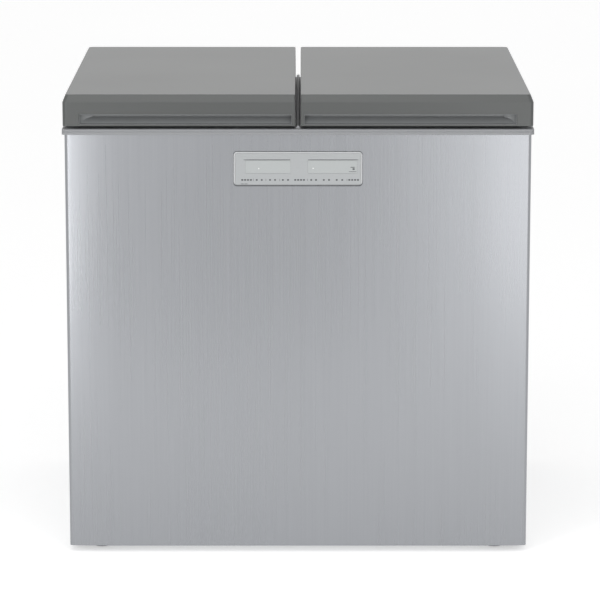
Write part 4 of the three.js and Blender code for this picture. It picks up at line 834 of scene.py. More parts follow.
class Repeats:
    """Small pieces repeated by a Geometry Nodes tree on points that carry a stretch of their own."""

    seed = 7  # of the random turns

    @staticmethod
    @cache
    def _tree() -> bpy.types.NodeTree:
        """Make the tree once."""
        group = bpy.data.node_groups.new("Repeats", "GeometryNodeTree")
        sockets = (
            ("Points", "NodeSocketGeometry"),
            ("Piece", "NodeSocketObject"),
            ("Turn", "NodeSocketVector"),
            ("Seed", "NodeSocketInt"),
            ("Material", "NodeSocketMaterial"),
        )
        for name, kind in sockets:
            group.interface.new_socket(name, in_out="INPUT", socket_type=kind)
        group.interface.new_socket("Pieces", in_out="OUTPUT", socket_type="NodeSocketGeometry")
        tree = Tree(group)
        given = tree.node("NodeGroupInput").outputs
        named = {"data_type": "FLOAT_VECTOR"}
        stretch = tree.node("GeometryNodeInputNamedAttribute", named, {"Name": "stretch"})
        share = tree.node("FunctionNodeRandomValue", {"data_type": "FLOAT"}, {"Seed": given["Seed"]})
        turning = {0: given["Turn"], "Scale": share.outputs["Value"]}
        turn = tree.node("ShaderNodeVectorMath", {"operation": "SCALE"}, turning)
        item = tree.node("GeometryNodeObjectInfo", {}, {"Object": given["Piece"]})
        placing = {
            "Points": given["Points"],
            "Instance": item.outputs["Geometry"],
            "Rotation": turn.outputs[0],
            "Scale": stretch.outputs["Attribute"],
        }
        placed = tree.node("GeometryNodeInstanceOnPoints", {}, placing)
        real = tree.node("GeometryNodeRealizeInstances", {}, {"Geometry": placed.outputs[0]})
        painting = {"Geometry": real.outputs[0], "Material": given["Material"]}
        painted = tree.node("GeometryNodeSetMaterial", {}, painting)
        tree.node("NodeGroupOutput", {}, {"Pieces": painted.outputs[0]})
        return group

    @classmethod
    def build(
        cls,
        name: str,
        item: Solid,
        places: Sequence[tuple[Vector, Point]],
        finish: Finish,
        body: str,
        turn: Point = (0.0, 0.0, 0.0),
    ) -> bpy.types.Object:
        """Repeat a solid.

        Args:
            name: The piece's name.
            item: The solid, about its own origin.
            places: Where each one goes, and its stretch along each axis.
            finish: The surface.
            body: The moving body that they ride on.
            turn: Largest random turn about each axis, in radians.

        Returns:
            The repeated pieces as one object.
        """
        sample = smoothed(name + "_item", item)
        mesh = bpy.data.meshes.new(name)
        mesh.from_pydata([tuple(place) for place, _ in places], [], [])
        stretches = mesh.attributes.new("stretch", "FLOAT_VECTOR", "POINT")
        stretches.data.foreach_set("vector", [value for _, stretch in places for value in stretch])
        thing = bpy.data.objects.new(name, mesh)
        bpy.context.scene.collection.objects.link(thing)
        modifier = thing.modifiers.new("repeats", "NODES")
        modifier.node_group = cls._tree()
        values = {"Piece": sample, "Turn": turn, "Seed": cls.seed, "Material": finish.material()}
        for socket in modifier.node_group.interface.items_tree:
            if socket.in_out == "INPUT" and socket.name in values:
                modifier[socket.identifier] = values[socket.name]
        applied(thing)
        shape = sample.data
        bpy.data.objects.remove(sample)
        bpy.data.meshes.remove(shape)
        return dressed(thing, finish, body)


# ---------------------------------------------------------------- cabinet


@dataclass(frozen=True)
class Mouth:
    """The opening over the right-hand tub, from inside the gasket that seals it."""

    x0: float
    x1: float
    y0: float
    y1: float
    radius: float = 32 * MM
    least: float = 4 * MM
    steps: int = 10

    @classmethod
    def read(cls, margin: float = 18 * MM) -> Mouth:
        """Work the mouth out from the gasket, whose outer edge lies a margin outside it."""
        gasket = Extent.of("lid_gasket_right")
        return cls(gasket.x0 + margin, gasket.x1 - margin, gasket.y0 + margin, gasket.y1 - margin)

    def plan(self, inset: float) -> Plan:
        """Draw the mouth from above, pulled in by an inset; a negative inset grows it."""
        x0, x1, y0, y1 = self.x0 + inset, self.x1 - inset, self.y0 + inset, self.y1 - inset
        return rectangle(x0, x1, y0, y1, max(self.radius - inset, self.least), self.steps)

    def prism(self, inset: float, z0: float, z1: float) -> Solid:
        """Return the room over the mouth between two levels."""
        return Solid.prism(self.plan(inset), Axis.Z, z0, z1)


@dataclass
class Collar:
    """The plastic frame that the lids close on, with a groove round its skirt."""

    height: float = 11 * MM
    skirt: float = 3 * MM
    plate: float = 3 * MM
    edge: float = 1.6 * MM
    corner: float = 9 * MM
    least: float = 1 * MM  # radius of a corner that an inset has used up
    lip: float = 2.5 * MM
    lip_depth: float = 13 * MM
    groove_drop: float = 5.2 * MM
    groove_depth: float = 0.8 * MM
    groove_half: float = 0.7 * MM
    edge_steps: int = 6
    strip_width: float = 6.4 * MM  # light strip between the lids
    strip_rise: float = 5.5 * MM
    strip_start: float = 6.4 * MM  # behind the collar's front edge
    strip_round: float = 0.7  # radius of its upper edges, as a share of half its width

    def build(self, mouth: Mouth) -> None:
        """Make the collar and the strip on its middle.

        Args:
            mouth: The opening over the right-hand tub.
        """
        box = Extent.of("top_frame")

        def plan(inset: float) -> Plan:
            radius = max(self.corner - inset, self.least)
            return rectangle(box.x0 + inset, box.x1 - inset, box.y0 + inset, box.y1 - inset, radius)

        middle, half = box.z1 - self.groove_drop, self.groove_half
        low = box.z1 - self.height
        rings = [(plan(self.skirt), box.z1 - self.plate), (plan(self.skirt), low), (plan(0.0), low)]
        rings += [(plan(0.0), middle - half), (plan(self.groove_depth), middle - half / 2)]
        rings += [(plan(self.groove_depth), middle + half / 2), (plan(0.0), middle + half)]
        for below, inward in quarter(self.edge_steps):
            rings.append((plan(self.edge * inward), box.z1 - self.edge * below))
        lip = mouth.prism(-self.lip, box.z1 - self.lip_depth, box.z1 - self.plate / 2)
        hole = mouth.prism(0.0, box.z1 - self.lip_depth - PAST, box.z1 + PAST)
        solid = Solid.levels(rings).join(lip, lip.on_side(-1)).cut(hole, hole.on_side(-1))
        piece("collar", solid, Surface.COLLAR, "cabinet", ["top_frame"], soften=0.5 * MM)
        self.strip(box)

    def strip(self, box: Extent) -> None:
        """Make the light strip that stands on the collar between the lids."""
        foot, crest, half = box.z1 + SEAT, box.z1 + self.strip_rise, self.strip_width / 2
        radius = half * self.strip_round
        section = outline([(-half, foot), (half, foot), (half, crest, radius), (-half, crest, radius)])
        solid = Solid.prism(section, Axis.Y, box.y0 + self.strip_start, box.y1 - self.edge)
        piece("collar_middle_strip", solid, Surface.COLLAR, "cabinet", soften=0.4 * MM)


@dataclass
class Panels:
    """Front, side and rear panels with the machine room's cover."""

    sheet: float = 1.2 * MM
    edge_radius: float = 7 * MM
    least: float = 1 * MM
    front_return: float = 24 * MM
    bow: float = 3.2 * MM  # the front falls back by this at its sides
    bow_reach: float = 125 * MM
    bow_power: float = 2.6
    bow_steps: int = 18
    flange: float = 14 * MM
    seam: float = 0.6 * MM
    rib_half: float = 17 * MM
    rib_half_height: float = 190 * MM
    rib_rise: float = 2.4 * MM
    rib_slope: float = 3 * MM
    rib_flat: float = 2 * MM  # half of the straight part at a rib's ends
    rib_profile: tuple[Point, ...] = ((0.0, 0.0), (0.35, 0.55), (0.7, 0.9), (1.0, 1.0))  # slope and rise
    ribs: int = 4
    rib_spread: float = 0.94
    tongue_foot: float = 80 * MM  # a side panel's front tongue starts this far above its foot
    screw_inset: float = 9 * MM
    screw_radius: float = 4.2 * MM
    screw_height: float = 2.2 * MM
    rear_screws: int = 5
    cover_screws: tuple[float, ...] = (0.08, 0.5, 0.92)  # places up the cover, as shares of its height

    def _front_plan(self, inset: float, back: float) -> Plan:
        """Draw the front panel from above, with points along its face for the bow."""
        box = self.front
        radius = max(self.edge_radius - inset, self.least)
        x, y = box.x1 - inset, box.y0 + inset
        first = box.x1 - self.bow_reach
        marks = [first + (x - radius - first) * k / self.bow_steps for k in range(self.bow_steps)]
        face = [(-m, y) for m in reversed(marks)] + [(m, y) for m in marks]
        return outline([(-x, back), (-x, y, radius), *face, (x, y, radius), (x, back)])

    def _bowed(self, solid: Solid) -> Solid:
        """Let the face of the front panel fall back towards its sides."""
        box = self.front
        rear = box.y0 + self.front_return
        for p in solid.points:
            out = max(0.0, (abs(p.x) - (box.x1 - self.bow_reach)) / self.bow_reach)
            p.y += self.bow * out**self.bow_power * max(0.0, min(1.0, (rear - p.y) / self.front_return))
        return solid

    def front_panel(self, hole: Solid) -> None:
        """Make the brushed front panel with the hole for the control panel."""
        box = self.front
        back = box.y0 + self.front_return
        outside = Solid.prism(self._front_plan(0.0, back), Axis.Z, box.z0, box.z1)
        inner_plan = self._front_plan(self.sheet, back + PAST)
        inside = Solid.prism(inner_plan, Axis.Z, box.z0 + self.sheet, box.z1 + PAST)
        solid = self._bowed(outside).cut(self._bowed(inside), hole)
        piece("front_panel_skin", solid, Surface.STEEL, "cabinet", ["front_panel"], soften=0.45 * MM)

    def foam(self) -> None:
        """Make the cabinet's foam, which fills up to the bowed front panel."""
        box = self.front
        room = Solid.prism(self._front_plan(self.sheet + SEAT, -box.y0), Axis.Z, box.z0, box.z1)
        solid = Solid.of_node("cabinet_foam").within(self._bowed(room))
        piece("cabinet_foam_fill", solid, Surface.FOAM, "cabinet", ["cabinet_foam"])

    def side_panel(self, side: str, sign: int) -> None:
        """Make a painted side panel with its edges folded in."""
        box = Extent.of("side_panel_right")
        front = self.front.y0 + self.front_return + self.seam
        sheet = self.sheet
        wall = Solid.block((box.x1 - sheet, front, box.z0), (box.x1, box.y1, box.z1))
        rear = Solid.block((box.x1 - self.flange, box.y1 - sheet, box.z0), (box.x1, box.y1, box.z1))
        floor = Solid.block((box.x1 - self.flange, front, box.z0), (box.x1, box.y1, box.z0 + sheet))
        x, behind = box.x1 - sheet - SEAT, front + 2 * sheet
        low, high = box.z0 + self.tongue_foot, box.z1 - self.flange
        tongue = Solid.block((x - sheet, front - self.flange, low), (x, behind, high))
        bridge = Solid.block((x - sheet, front, low), (box.x1, behind, high))
        solid = wall.join(rear, floor, tongue, bridge).on_side(sign)
        node = f"side_panel_{side}"
        piece(f"{node}_skin", solid, Surface.SIDE, "cabinet", [node], soften=0.5 * MM)

    def rear_panel(self) -> None:
        """Make the rear panel with its pressed ribs."""
        box = Extent.of("rear_panel")
        face = box.y1 - self.rib_rise
        middle = (box.z0 + box.z1) / 2
        plate = Solid.block((box.x0, face - self.sheet, box.z0), (box.x1, face, box.z1))
        span = (self.front.x1 - self.front.x0) * self.rib_spread
        levels = [(0.0, face - self.sheet)]
        levels += [(share, face + self.rib_rise * rise) for share, rise in self.rib_profile]
        ribs = []
        for i in range(self.ribs):
            x = ((i + 0.5) / self.ribs - 0.5) * span
            rings = []
            for share, y in levels:
                wide = self.rib_half - self.rib_slope * share
                high = self.rib_half_height - self.rib_slope * share
                plan = rectangle(x - wide, x + wide, middle - high, middle + high, wide - self.rib_flat)
                rings.append([Axis.Y.place(p.x, p.y, y) for p in plan])
            ribs.append(Solid.loft(rings))
        solid = plate.join(*ribs)
        piece("rear_panel_skin", solid, Surface.ZINC_SHEET, "cabinet", ["rear_panel"], soften=0.3 * MM)

    def screws(self) -> None:
        """Put pan-head screws along the rear edges."""
        rear, cover = Extent.of("rear_panel"), Extent.of("machine_cover")
        face = rear.y1 - self.rib_rise
        inset = self.screw_inset
        pitch = (rear.z1 - rear.z0 - 2 * inset) / (self.rear_screws - 1)
        heights = [rear.z0 + inset + pitch * k for k in range(self.rear_screws)]
        heights += [cover.z0 + (cover.z1 - cover.z0) * share for share in self.cover_screws]
        rows = (rear.x0 + inset, rear.x1 - inset)
        places = [(Vector((x, face, z)), UNSTRETCHED) for x in rows for z in heights]
        head, turn = screw(self.screw_radius, self.screw_height), (0.0, math.pi, 0.0)
        Repeats.build("rear_screws", head, places, Surface.ZINC, "cabinet", turn)

    def build(self, control: ControlPanel) -> None:
        """Make the panels round the control panel's hole."""
        self.front = Extent.of("front_panel")
        self.front_panel(control.hole())
        self.foam()
        for side, sign in SIDES:
            self.side_panel(side, sign)
        self.rear_panel()
        LouvredCover().build()
        self.screws()


def screw(radius: float, height: float) -> Solid:
    """Return a pan-head screw that faces +Y, with its cross recess, from its head's radius and height."""
    root, rim = -0.2 * height, 0.35 * height
    dome = [(radius * math.cos(a), rim + 0.65 * height * math.sin(a)) for a in (0.35, 0.7, 1.05, 1.35)]
    head = Solid.turned([(0, root), (radius, root), (radius, rim), *dome, (0, height)], Axis.Y, 28)
    arm, half, floor = 0.42 * radius, 0.13 * radius, 0.45 * height
    slot = Solid.block((-arm, floor, -half), (arm, 2 * height, half))
    return head.cut(slot, slot.rotated(90, Axis.Y))


@dataclass
class LouvredCover:
    """The moulded cover of the machine room: two columns of slots, each under a hood."""

    wall: float = 2 * MM
    rim: float = 8 * MM
    corner: float = 6 * MM
    louvres: int = 7
    pitch: float = 27 * MM
    slot_height: float = 9 * MM
    slot_half: float = 0.36
    slot_centre: float = 0.5
    hood: float = 3.6 * MM
    hood_wall: float = 1.4 * MM
    hood_root: float = 0.6 * MM  # how far it goes into the cover
    hood_low: float = 2 * MM  # its lip and its shoulder, above the slot's lower edge
    hood_shoulder: float = 5.5 * MM
    hood_above: float = 4 * MM  # how far it reaches past the slot, upwards and sideways
    hood_past: float = 2 * MM
    hood_taper: float = 3 * MM
    hood_rounds: Point = (0.5 * MM, 3 * MM)  # of its lip and its shoulder

    def _hood(self, half: float) -> Solid:
        """Return a hood that curls out over its slot, from the cover's face at the slot's lower edge."""
        top, out, low = self.slot_height + self.hood_above, self.hood, self.hood_low
        corners = [(-self.hood_root, top), (-self.hood_root, self.slot_height), (out - self.hood_wall, low)]
        lip, shoulder = self.hood_rounds
        corners += [(out, low, lip), (out, self.hood_shoulder, shoulder)]
        middle = Solid.prism(outline(corners, 4), Axis.X, -half, half)
        clip = rectangle(-half, half, -PAST, out + 0.1 * MM, self.hood_taper, 6)
        return middle.within(Solid.prism(clip, Axis.Z, -PAST, top + PAST))

    def build(self) -> None:
        """Make the cover and its hoods."""
        box, wall = Extent.of("machine_cover"), self.wall
        face = box.y1 - self.hood
        inner = face - wall
        outer = rectangle(box.x0, box.x1, box.z0, box.z1, self.corner)
        inside = rectangle(box.x0 + wall, box.x1 - wall, box.z0 + wall, box.z1 - wall, self.corner - wall)
        solid = Solid.prism(outer, Axis.Y, inner - self.rim, face)
        hollow = Solid.prism(inside, Axis.Y, inner - self.rim - PAST, inner)
        half = box.x1 * self.slot_half
        slot = Solid.block((-half, inner - PAST, 0.0), (half, face + PAST, self.slot_height))
        first = (box.z0 + box.z1 - self.pitch * (self.louvres - 1) - self.slot_height) / 2
        columns = [sign * box.x1 * self.slot_centre for _, sign in SIDES]
        places = [Vector((x, face, first + self.pitch * i)) for x in columns for i in range(self.louvres)]
        solid = solid.cut(hollow, *(slot.moved(p.x, 0.0, p.z) for p in places))
        piece("machine_cover_plate", solid, Surface.GREY, "cabinet", ["machine_cover"], soften=0.5 * MM)
        hoods = [(place, UNSTRETCHED) for place in places]
        Repeats.build("louvre_hoods", self._hood(half + self.hood_past), hoods, Surface.GREY, "cabinet")


@dataclass
class Tub:
    """A tub with its step over the machine room."""

    side: str
    sign: int
    lip: float = 2.5 * MM
    wall: float = 2 * MM
    floor_radius: float = 22 * MM
    ledge_radius: float = 12 * MM
    ledge_length: float = 296 * MM
    ledge_rise: float = 180 * MM
    least: float = 2 * MM
    flange: float = 12 * MM

    def _body(self, mouth: Mouth, box: Extent, grow: float, top: float) -> Solid:
        """Return the room that the tub takes, grown outwards."""
        out = self.lip + SEAT + grow
        floor = box.z0 + self.wall - grow
        step, ledge = mouth.y1 - self.ledge_length + grow, floor + self.ledge_rise
        radius = self.floor_radius + grow
        front, rear, inner = mouth.y0 - out, mouth.y1 + out, max(self.ledge_radius - grow, self.least)
        corners = [(front, top), (front, floor, radius), (step, floor, radius), (step, ledge, inner)]
        profile = outline([*corners, (rear, ledge, radius), (rear, top)])
        past = 5 * out + PAST  # the mouth's outline cuts the sides to size
        side = Solid.prism(profile, Axis.X, mouth.x0 - past, mouth.x1 + past)
        return side.within(mouth.prism(-out, floor - PAST, top + PAST))

    def build(self, mouth: Mouth) -> None:
        """Make the tub under a mouth."""
        node = f"tub_{self.side}"
        box = Extent.of("tub_right")
        flange = mouth.prism(-self.lip - SEAT - self.flange, box.z1 - self.wall, box.z1)
        outside = self._body(mouth, box, self.wall, box.z1).join(flange)
        solid = outside.cut(self._body(mouth, box, 0.0, box.z1 + PAST)).on_side(self.sign)
        piece(f"{node}_lining", solid, Surface.TUB, "cabinet", [node], soften=0.4 * MM)


@dataclass
class Footing:
    """Levelling feet in front, and rollers in their forks behind."""

    foot_radius: float = 22 * MM
    disc: float = 12 * MM
    disc_foot: Profile = ((-2.4, 0.0), (-1.0, 0.5), (0.0, 2.0))
    disc_crown: Profile = ((0.0, -3.0), (-1.2, -1.2), (-4.0, 0.0))
    stem: float = 6 * MM
    thread: float = 1.5 * MM
    thread_depth: float = 0.8 * MM
    flutes: int = 6
    flute: float = 3.2 * MM
    flute_foot: float = 3.5 * MM
    nut: float = 11 * MM
    nut_height: float = 7 * MM
    nut_edge: float = 0.8 * MM
    wheel_half: float = 10 * MM
    hub_face: Profile = ((0.3, 1.0), (4.0, 1.0), (5.0, -2.5))
    tyre_face: Profile = ((-5.0, -2.5), (-4.0, -0.3), (-3.0, 0.0), (-1.0, -0.5), (0.0, -2.0))
    axle: float = 3.5 * MM
    rivet: float = 1.5 * MM
    rivet_edge: float = 0.5 * MM
    cheek: float = 2.5 * MM
    cheek_half: float = 7 * MM  # half width of a cheek at the axle, and under the plate
    cheek_root: float = 15 * MM
    cheek_corner: float = 6.5 * MM
    plate_half: float = 24 * MM
    side_gap: float = 1.5 * MM

    def _foot(self, box: Extent) -> Solid:
        """Return a foot about its axis: fluted disc, hexagon and threaded stem."""
        r, top = self.foot_radius, self.disc
        profile = [(0, 0), *at(self.disc_foot, r, 0.0), *at(self.disc_crown, r, top), (0, top)]
        disc = Solid.turned(profile, Axis.Z, 64)
        groove = Solid.bar(Axis.Z, self.flute, self.flute_foot, top + PAST, 20).moved(x=r + 1 * MM)
        grooves = [groove.rotated(360 * (i + 0.5) / self.flutes, Axis.Z) for i in range(self.flutes)]
        nut = Solid.bar(Axis.Z, self.nut, top - 1 * MM, top + self.nut_height, 6, self.nut_edge)
        crest, root, pitch = self.stem, self.stem - self.thread_depth, self.thread
        threads = [(0.0, top)]
        level = top
        while level + pitch < box.z1:
            threads += [(crest, level + pitch * 0.25), (root, level + pitch * 0.75)]
            level += pitch
        stem = Solid.turned([*threads, (root, box.z1), (0.0, box.z1)], Axis.Z, 32)
        return disc.cut(*grooves).join(nut, stem)

    def _wheel(self, radius: float) -> Solid:
        """Return a wheel about its axle: hub, web and rounded tyre."""
        half = self.wheel_half
        side = at(self.hub_face, self.axle, half) + at(self.tyre_face, radius, half)
        profile = [(r, -h) for r, h in side] + list(reversed(side))
        return Solid.turned(profile, Axis.X, 56, loop=True)

    def _fork(self, box: Extent, radius: float) -> Solid:
        """Return a roller's fork and riveted axle about the axle's centre."""
        half = self.wheel_half + self.side_gap
        top = box.z1 - radius
        low, root, corner = self.cheek_half, self.cheek_root, self.cheek_corner
        cheek = outline([(-low, -low, corner), (low, -low, corner), (root, top), (-root, top)])
        sides = [Solid.prism(cheek, Axis.X, x, x + self.cheek) for x in (-half - self.cheek, half)]
        outer = half + self.cheek
        long = self.plate_half
        plate = Solid.block((-outer, -long, top - self.cheek), (outer, long, top))
        rivet = outer + self.rivet
        return plate.join(*sides, Solid.bar(Axis.X, self.axle, -rivet, rivet, 28, self.rivet_edge))

    def build(self) -> None:
        """Make both feet and both rollers."""
        for side, _ in SIDES:
            node = f"front_foot_{side}"
            box = Extent.of(node)
            foot = self._foot(box).moved(box.centre.x, box.centre.y)
            piece(f"foot_{side}_turned", foot, Surface.BLACK, f"foot_{side}", [node], soften=0.2 * MM)
            node = f"roller_wheel_{side}"
            hub = Extent.of(node).centre
            wheel = self._wheel(hub.z).moved(*hub)
            piece(f"roller_{side}_tyre", wheel, Surface.TYRE, f"roller_{side}", [node])
            node = f"roller_fork_{side}"
            fork = self._fork(Extent.of(node), hub.z).moved(*hub)
            piece(f"{node}_bent", fork, Surface.ZINC, "cabinet", [node], soften=0.35 * MM)


@dataclass
class Gland:
    """The bush in the rear panel where the mains lead leaves."""

    flange: float = 2.7 * MM
    nose: float = 9 * MM
    bore: float = 4.2 * MM
    edge: float = 0.8 * MM

    def build(self) -> None:
        """Make the bush."""
        box = Extent.of("cord_gland")
        radius, edge = (box.x1 - box.x0) / 2, self.edge
        shoulder = box.y0 + self.flange
        profile = [(self.bore, box.y0), (radius, box.y0), (radius, shoulder - edge)]
        profile += [(radius - edge, shoulder), (self.nose, shoulder), (self.nose - edge, box.y1)]
        profile += [(self.bore + edge, box.y1), (self.bore, box.y1 - edge)]
        bush = Solid.turned(profile, Axis.Y, 48, loop=True)
        centre = box.centre
        piece("cord_bush", bush.moved(centre.x, 0.0, centre.z), Surface.BLACK, "cabinet", ["cord_gland"])


# ---------------------------------------------------------------- control panel


@dataclass(frozen=True)
class Mark:
    """A mark on the control panel (print, a painted shadow line or a small white dot): its middle, from the
    panel's upper middle, and its size, in mm.
    """

    x: float
    drop: float
    width: float
    height: float


@dataclass
class ControlPanel:
    """The control panel: silver bezel on a dark seal that is painted shade for its shadow and gaps, printed
    fascia with painted shadow lines over the windows, and two windows with a small white dot in each.
    """

    rim: float = 3.5 * MM
    corner: float = 7 * MM
    least: float = 1.5 * MM
    edge: float = 0.9 * MM
    housing_depth: float = 16 * MM
    housing_wall: float = 2 * MM
    back: float = 1.6 * MM  # wall behind the fascia
    port_margin: float = 1 * MM  # the bezel's openings are this much smaller than the windows
    fascia: float = 1.2 * MM
    window_radius: float = 2 * MM
    recess: float = 0.6 * MM  # a window's upper edge lies this far behind its lower edge
    seal: float = 0.9 * MM
    reveals: tuple[float, float, float] = (0.6 * MM, 2.6 * MM, 1.1 * MM)  # dark seal shown beside, below and above; widest below, as painted shade for the panel's shadow
    ink: float = 0.06 * MM
    ink_corner: float = 0.16 * MM
    clusters: tuple[float, ...] = (-101.3, 3.2, 109.8)  # middles of the rows of four dots, in mm
    keys: tuple[float, ...] = (-81.3, -71.4, -55.1, -45.2, -29.9, -19.6, 26.1, 35.6, 50.9, 61.2, 76.3, 87.3)
    ticks: tuple[float, ...] = (-88.0, -63.2, -36.0, 18.6, 96.6)
    key_drop: float = 57.0
    dot_pitch: float = 5.7
    dot: Point = (3.8, 3.0)
    key: Point = (3.6, 3.0)
    tick: Point = (0.7, 4.4)
    bars: tuple[Mark, ...] = (
        Mark(-109.6, 64.9, 5.4, 1.1),
        Mark(-102.4, 64.9, 6.4, 1.1),
        # painted shadow lines along the top edges of the two windows, in the ink colour
        Mark(-61.0, 16.9, 92.0, 1.3),
        Mark(69.4, 16.9, 99.0, 1.3),
    )
    sign: tuple[Mark, ...] = (
        Mark(107.7, 31.8, 8.4, 1.4),
        Mark(109.6, 35.4, 4.2, 3.2),
        Mark(107.7, 40.6, 15.0, 0.9),
    )
    lamps: tuple[Mark, ...] = (Mark(-77.3, 34.5, 2.6, 2.6), Mark(29.9, 34.0, 2.6, 2.6))

    def __post_init__(self) -> None:
        """Read the panel's places from the construction."""
        self.box = Extent.of("control_bezel")
        self.face = Extent.of("front_panel").y0
        self.windows = [Extent.of(f"display_window_{side}") for side, _ in SIDES]

    def _outline(self, inset: float, reveals: tuple[float, float, float] = (0.0, 0.0, 0.0)) -> Plan:
        """Draw the panel from the front, pulled in by an inset and by what shows of the dark seal round it,
        the painted shade.
        """
        box = self.box
        beside, below, above = (inset + reveal for reveal in reveals)
        radius = max(self.corner - inset, self.least)
        return rectangle(box.x0 + beside, box.x1 - beside, box.z0 + below, box.z1 - above, radius)

    def _plate(self, inset: float, y0: float, y1: float) -> Solid:
        """Return a plate with the panel's outline."""
        return Solid.prism(self._outline(inset), Axis.Y, y0, y1)

    def _window(self, window: Extent, grow: float, y0: float, y1: float) -> Solid:
        """Return a plate with a window's outline, grown outwards."""
        x0, x1, z0, z1 = window.x0 - grow, window.x1 + grow, window.z0 - grow, window.z1 + grow
        return Solid.prism(rectangle(x0, x1, z0, z1, self.window_radius + grow), Axis.Y, y0, y1)

    def hole(self) -> Solid:
        """Return the hole that the panel needs in the cabinet's front."""
        return self._plate(self.rim, self.face - PAST, self.face + PAST)

    def bezel(self) -> None:
        """Make the bezel: a rounded rim in front and the housing behind it; then the dark seal under the
        bezel, painted shade round the panel.
        """
        front = self.box.y0
        behind = self.face - self.seal - SEAT
        rings = []
        for inset, y in [(self.edge * a, front + self.edge * b) for a, b in quarter(4)] + [(0.0, behind)]:
            rings.append([Axis.Y.place(p.x, p.y, y) for p in self._outline(inset, self.reveals)])
        end = self.face + self.housing_depth
        housing = self._plate(self.rim + SEAT, behind - SEAT, end)
        pocket_back = front + self.fascia + 2 * SEAT
        pocket = self._plate(self.rim, front - PAST, pocket_back)
        inside = self._plate(self.rim + SEAT + self.housing_wall, pocket_back + self.back, end + PAST)
        ports = [self._window(w, -self.port_margin, front - PAST, pocket_back + PAST) for w in self.windows]
        solid = Solid.loft(rings).join(housing).cut(pocket, inside, *ports)
        piece("control_bezel_rim", solid, Surface.SILVER, "cabinet", ["control_bezel"], soften=0.3 * MM)
        # the dark seal is painted shade: it stands in for the shadow under the panel and the gaps round it
        seal = self._plate(0.0, self.face - self.seal, self.face - SEAT)
        piece("control_seal", seal.cut(self.hole()), Surface.GASKET, "cabinet", soften=0.2 * MM)

    def fascia_plate(self) -> None:
        """Make the fascia with its window holes, and the lens in each."""
        front = self.box.y0 + SEAT
        holes = [self._window(w, SEAT, front - PAST, self.face + PAST) for w in self.windows]
        solid = self._plate(self.rim + SEAT, front, front + self.fascia).cut(*holes)
        piece("control_fascia_film", solid, Surface.FASCIA, "cabinet", ["control_fascia"], soften=0.12 * MM)
        for (side, _), window in zip(SIDES, self.windows):
            slope = [(window.y0, window.z0), (window.y0 + self.recess, window.z1)]
            wedge = outline([*slope, (window.y1, window.z1), (window.y1, window.z0)])
            room = Solid.prism(wedge, Axis.X, window.x0 - PAST, window.x1 + PAST)
            lens = self._window(window, 0.0, window.y0 - PAST, window.y1 + PAST).within(room)
            node = f"display_window_{side}"
            piece(f"{node}_lens", lens, Surface.WINDOW, "cabinet", [node])

    def _places(self, marks: Sequence[Mark], windowed: bool) -> list[tuple[Vector, Point]]:
        """Return where marks go on the fascia or on the sloping windows, and their stretch."""
        window = self.windows[0]
        places = []
        for mark in marks:
            z = self.box.z1 - mark.drop * MM
            share = (z - window.z0) / (window.z1 - window.z0)
            y = window.y0 + self.recess * share if windowed else self.box.y0 + SEAT
            places.append((Vector((self.box.centre.x + mark.x * MM, y, z)), (mark.width, 1.0, mark.height)))
        return places

    def print_marks(self) -> None:
        """Print the key marks, the bars and a small sign, paint a shadow line along the top of each window,
        and put a small white dot in each window.
        """
        half, drop = 0.5 * MM, self.key_drop
        plan = rectangle(-half, half, -half, half, self.ink_corner, 4)
        bar = Solid.prism(plan, Axis.Y, -self.ink, self.ink)
        dots = [middle + self.dot_pitch * (k - 1.5) for middle in self.clusters for k in range(4)]
        rows = ((dots, self.dot), (self.keys, self.key), (self.ticks, self.tick))
        marks = [Mark(x, drop, *size) for places, size in rows for x in places]
        # the dome of the small white dot in each window
        dome = [(0.0, -0.4 * half), (half * 0.6, -0.3 * half), (half, 0.0), (half, half), (0.0, half)]
        lamp = Solid.turned(dome, Axis.Y, 24)
        made = (
            ("key_marks", bar, [*marks, *self.bars], False, Surface.INK),
            ("display_sign", bar, self.sign, True, Surface.INK),
            ("display_lamps", lamp, self.lamps, True, Surface.LAMP),
        )
        for name, item, places, windowed, finish in made:
            Repeats.build(name, item, self._places(places, windowed), finish, "cabinet")

    def build(self) -> None:
        """Make the whole control panel."""
        self.bezel()
        self.fascia_plate()
        self.print_marks()


# ---------------------------------------------------------------- lids


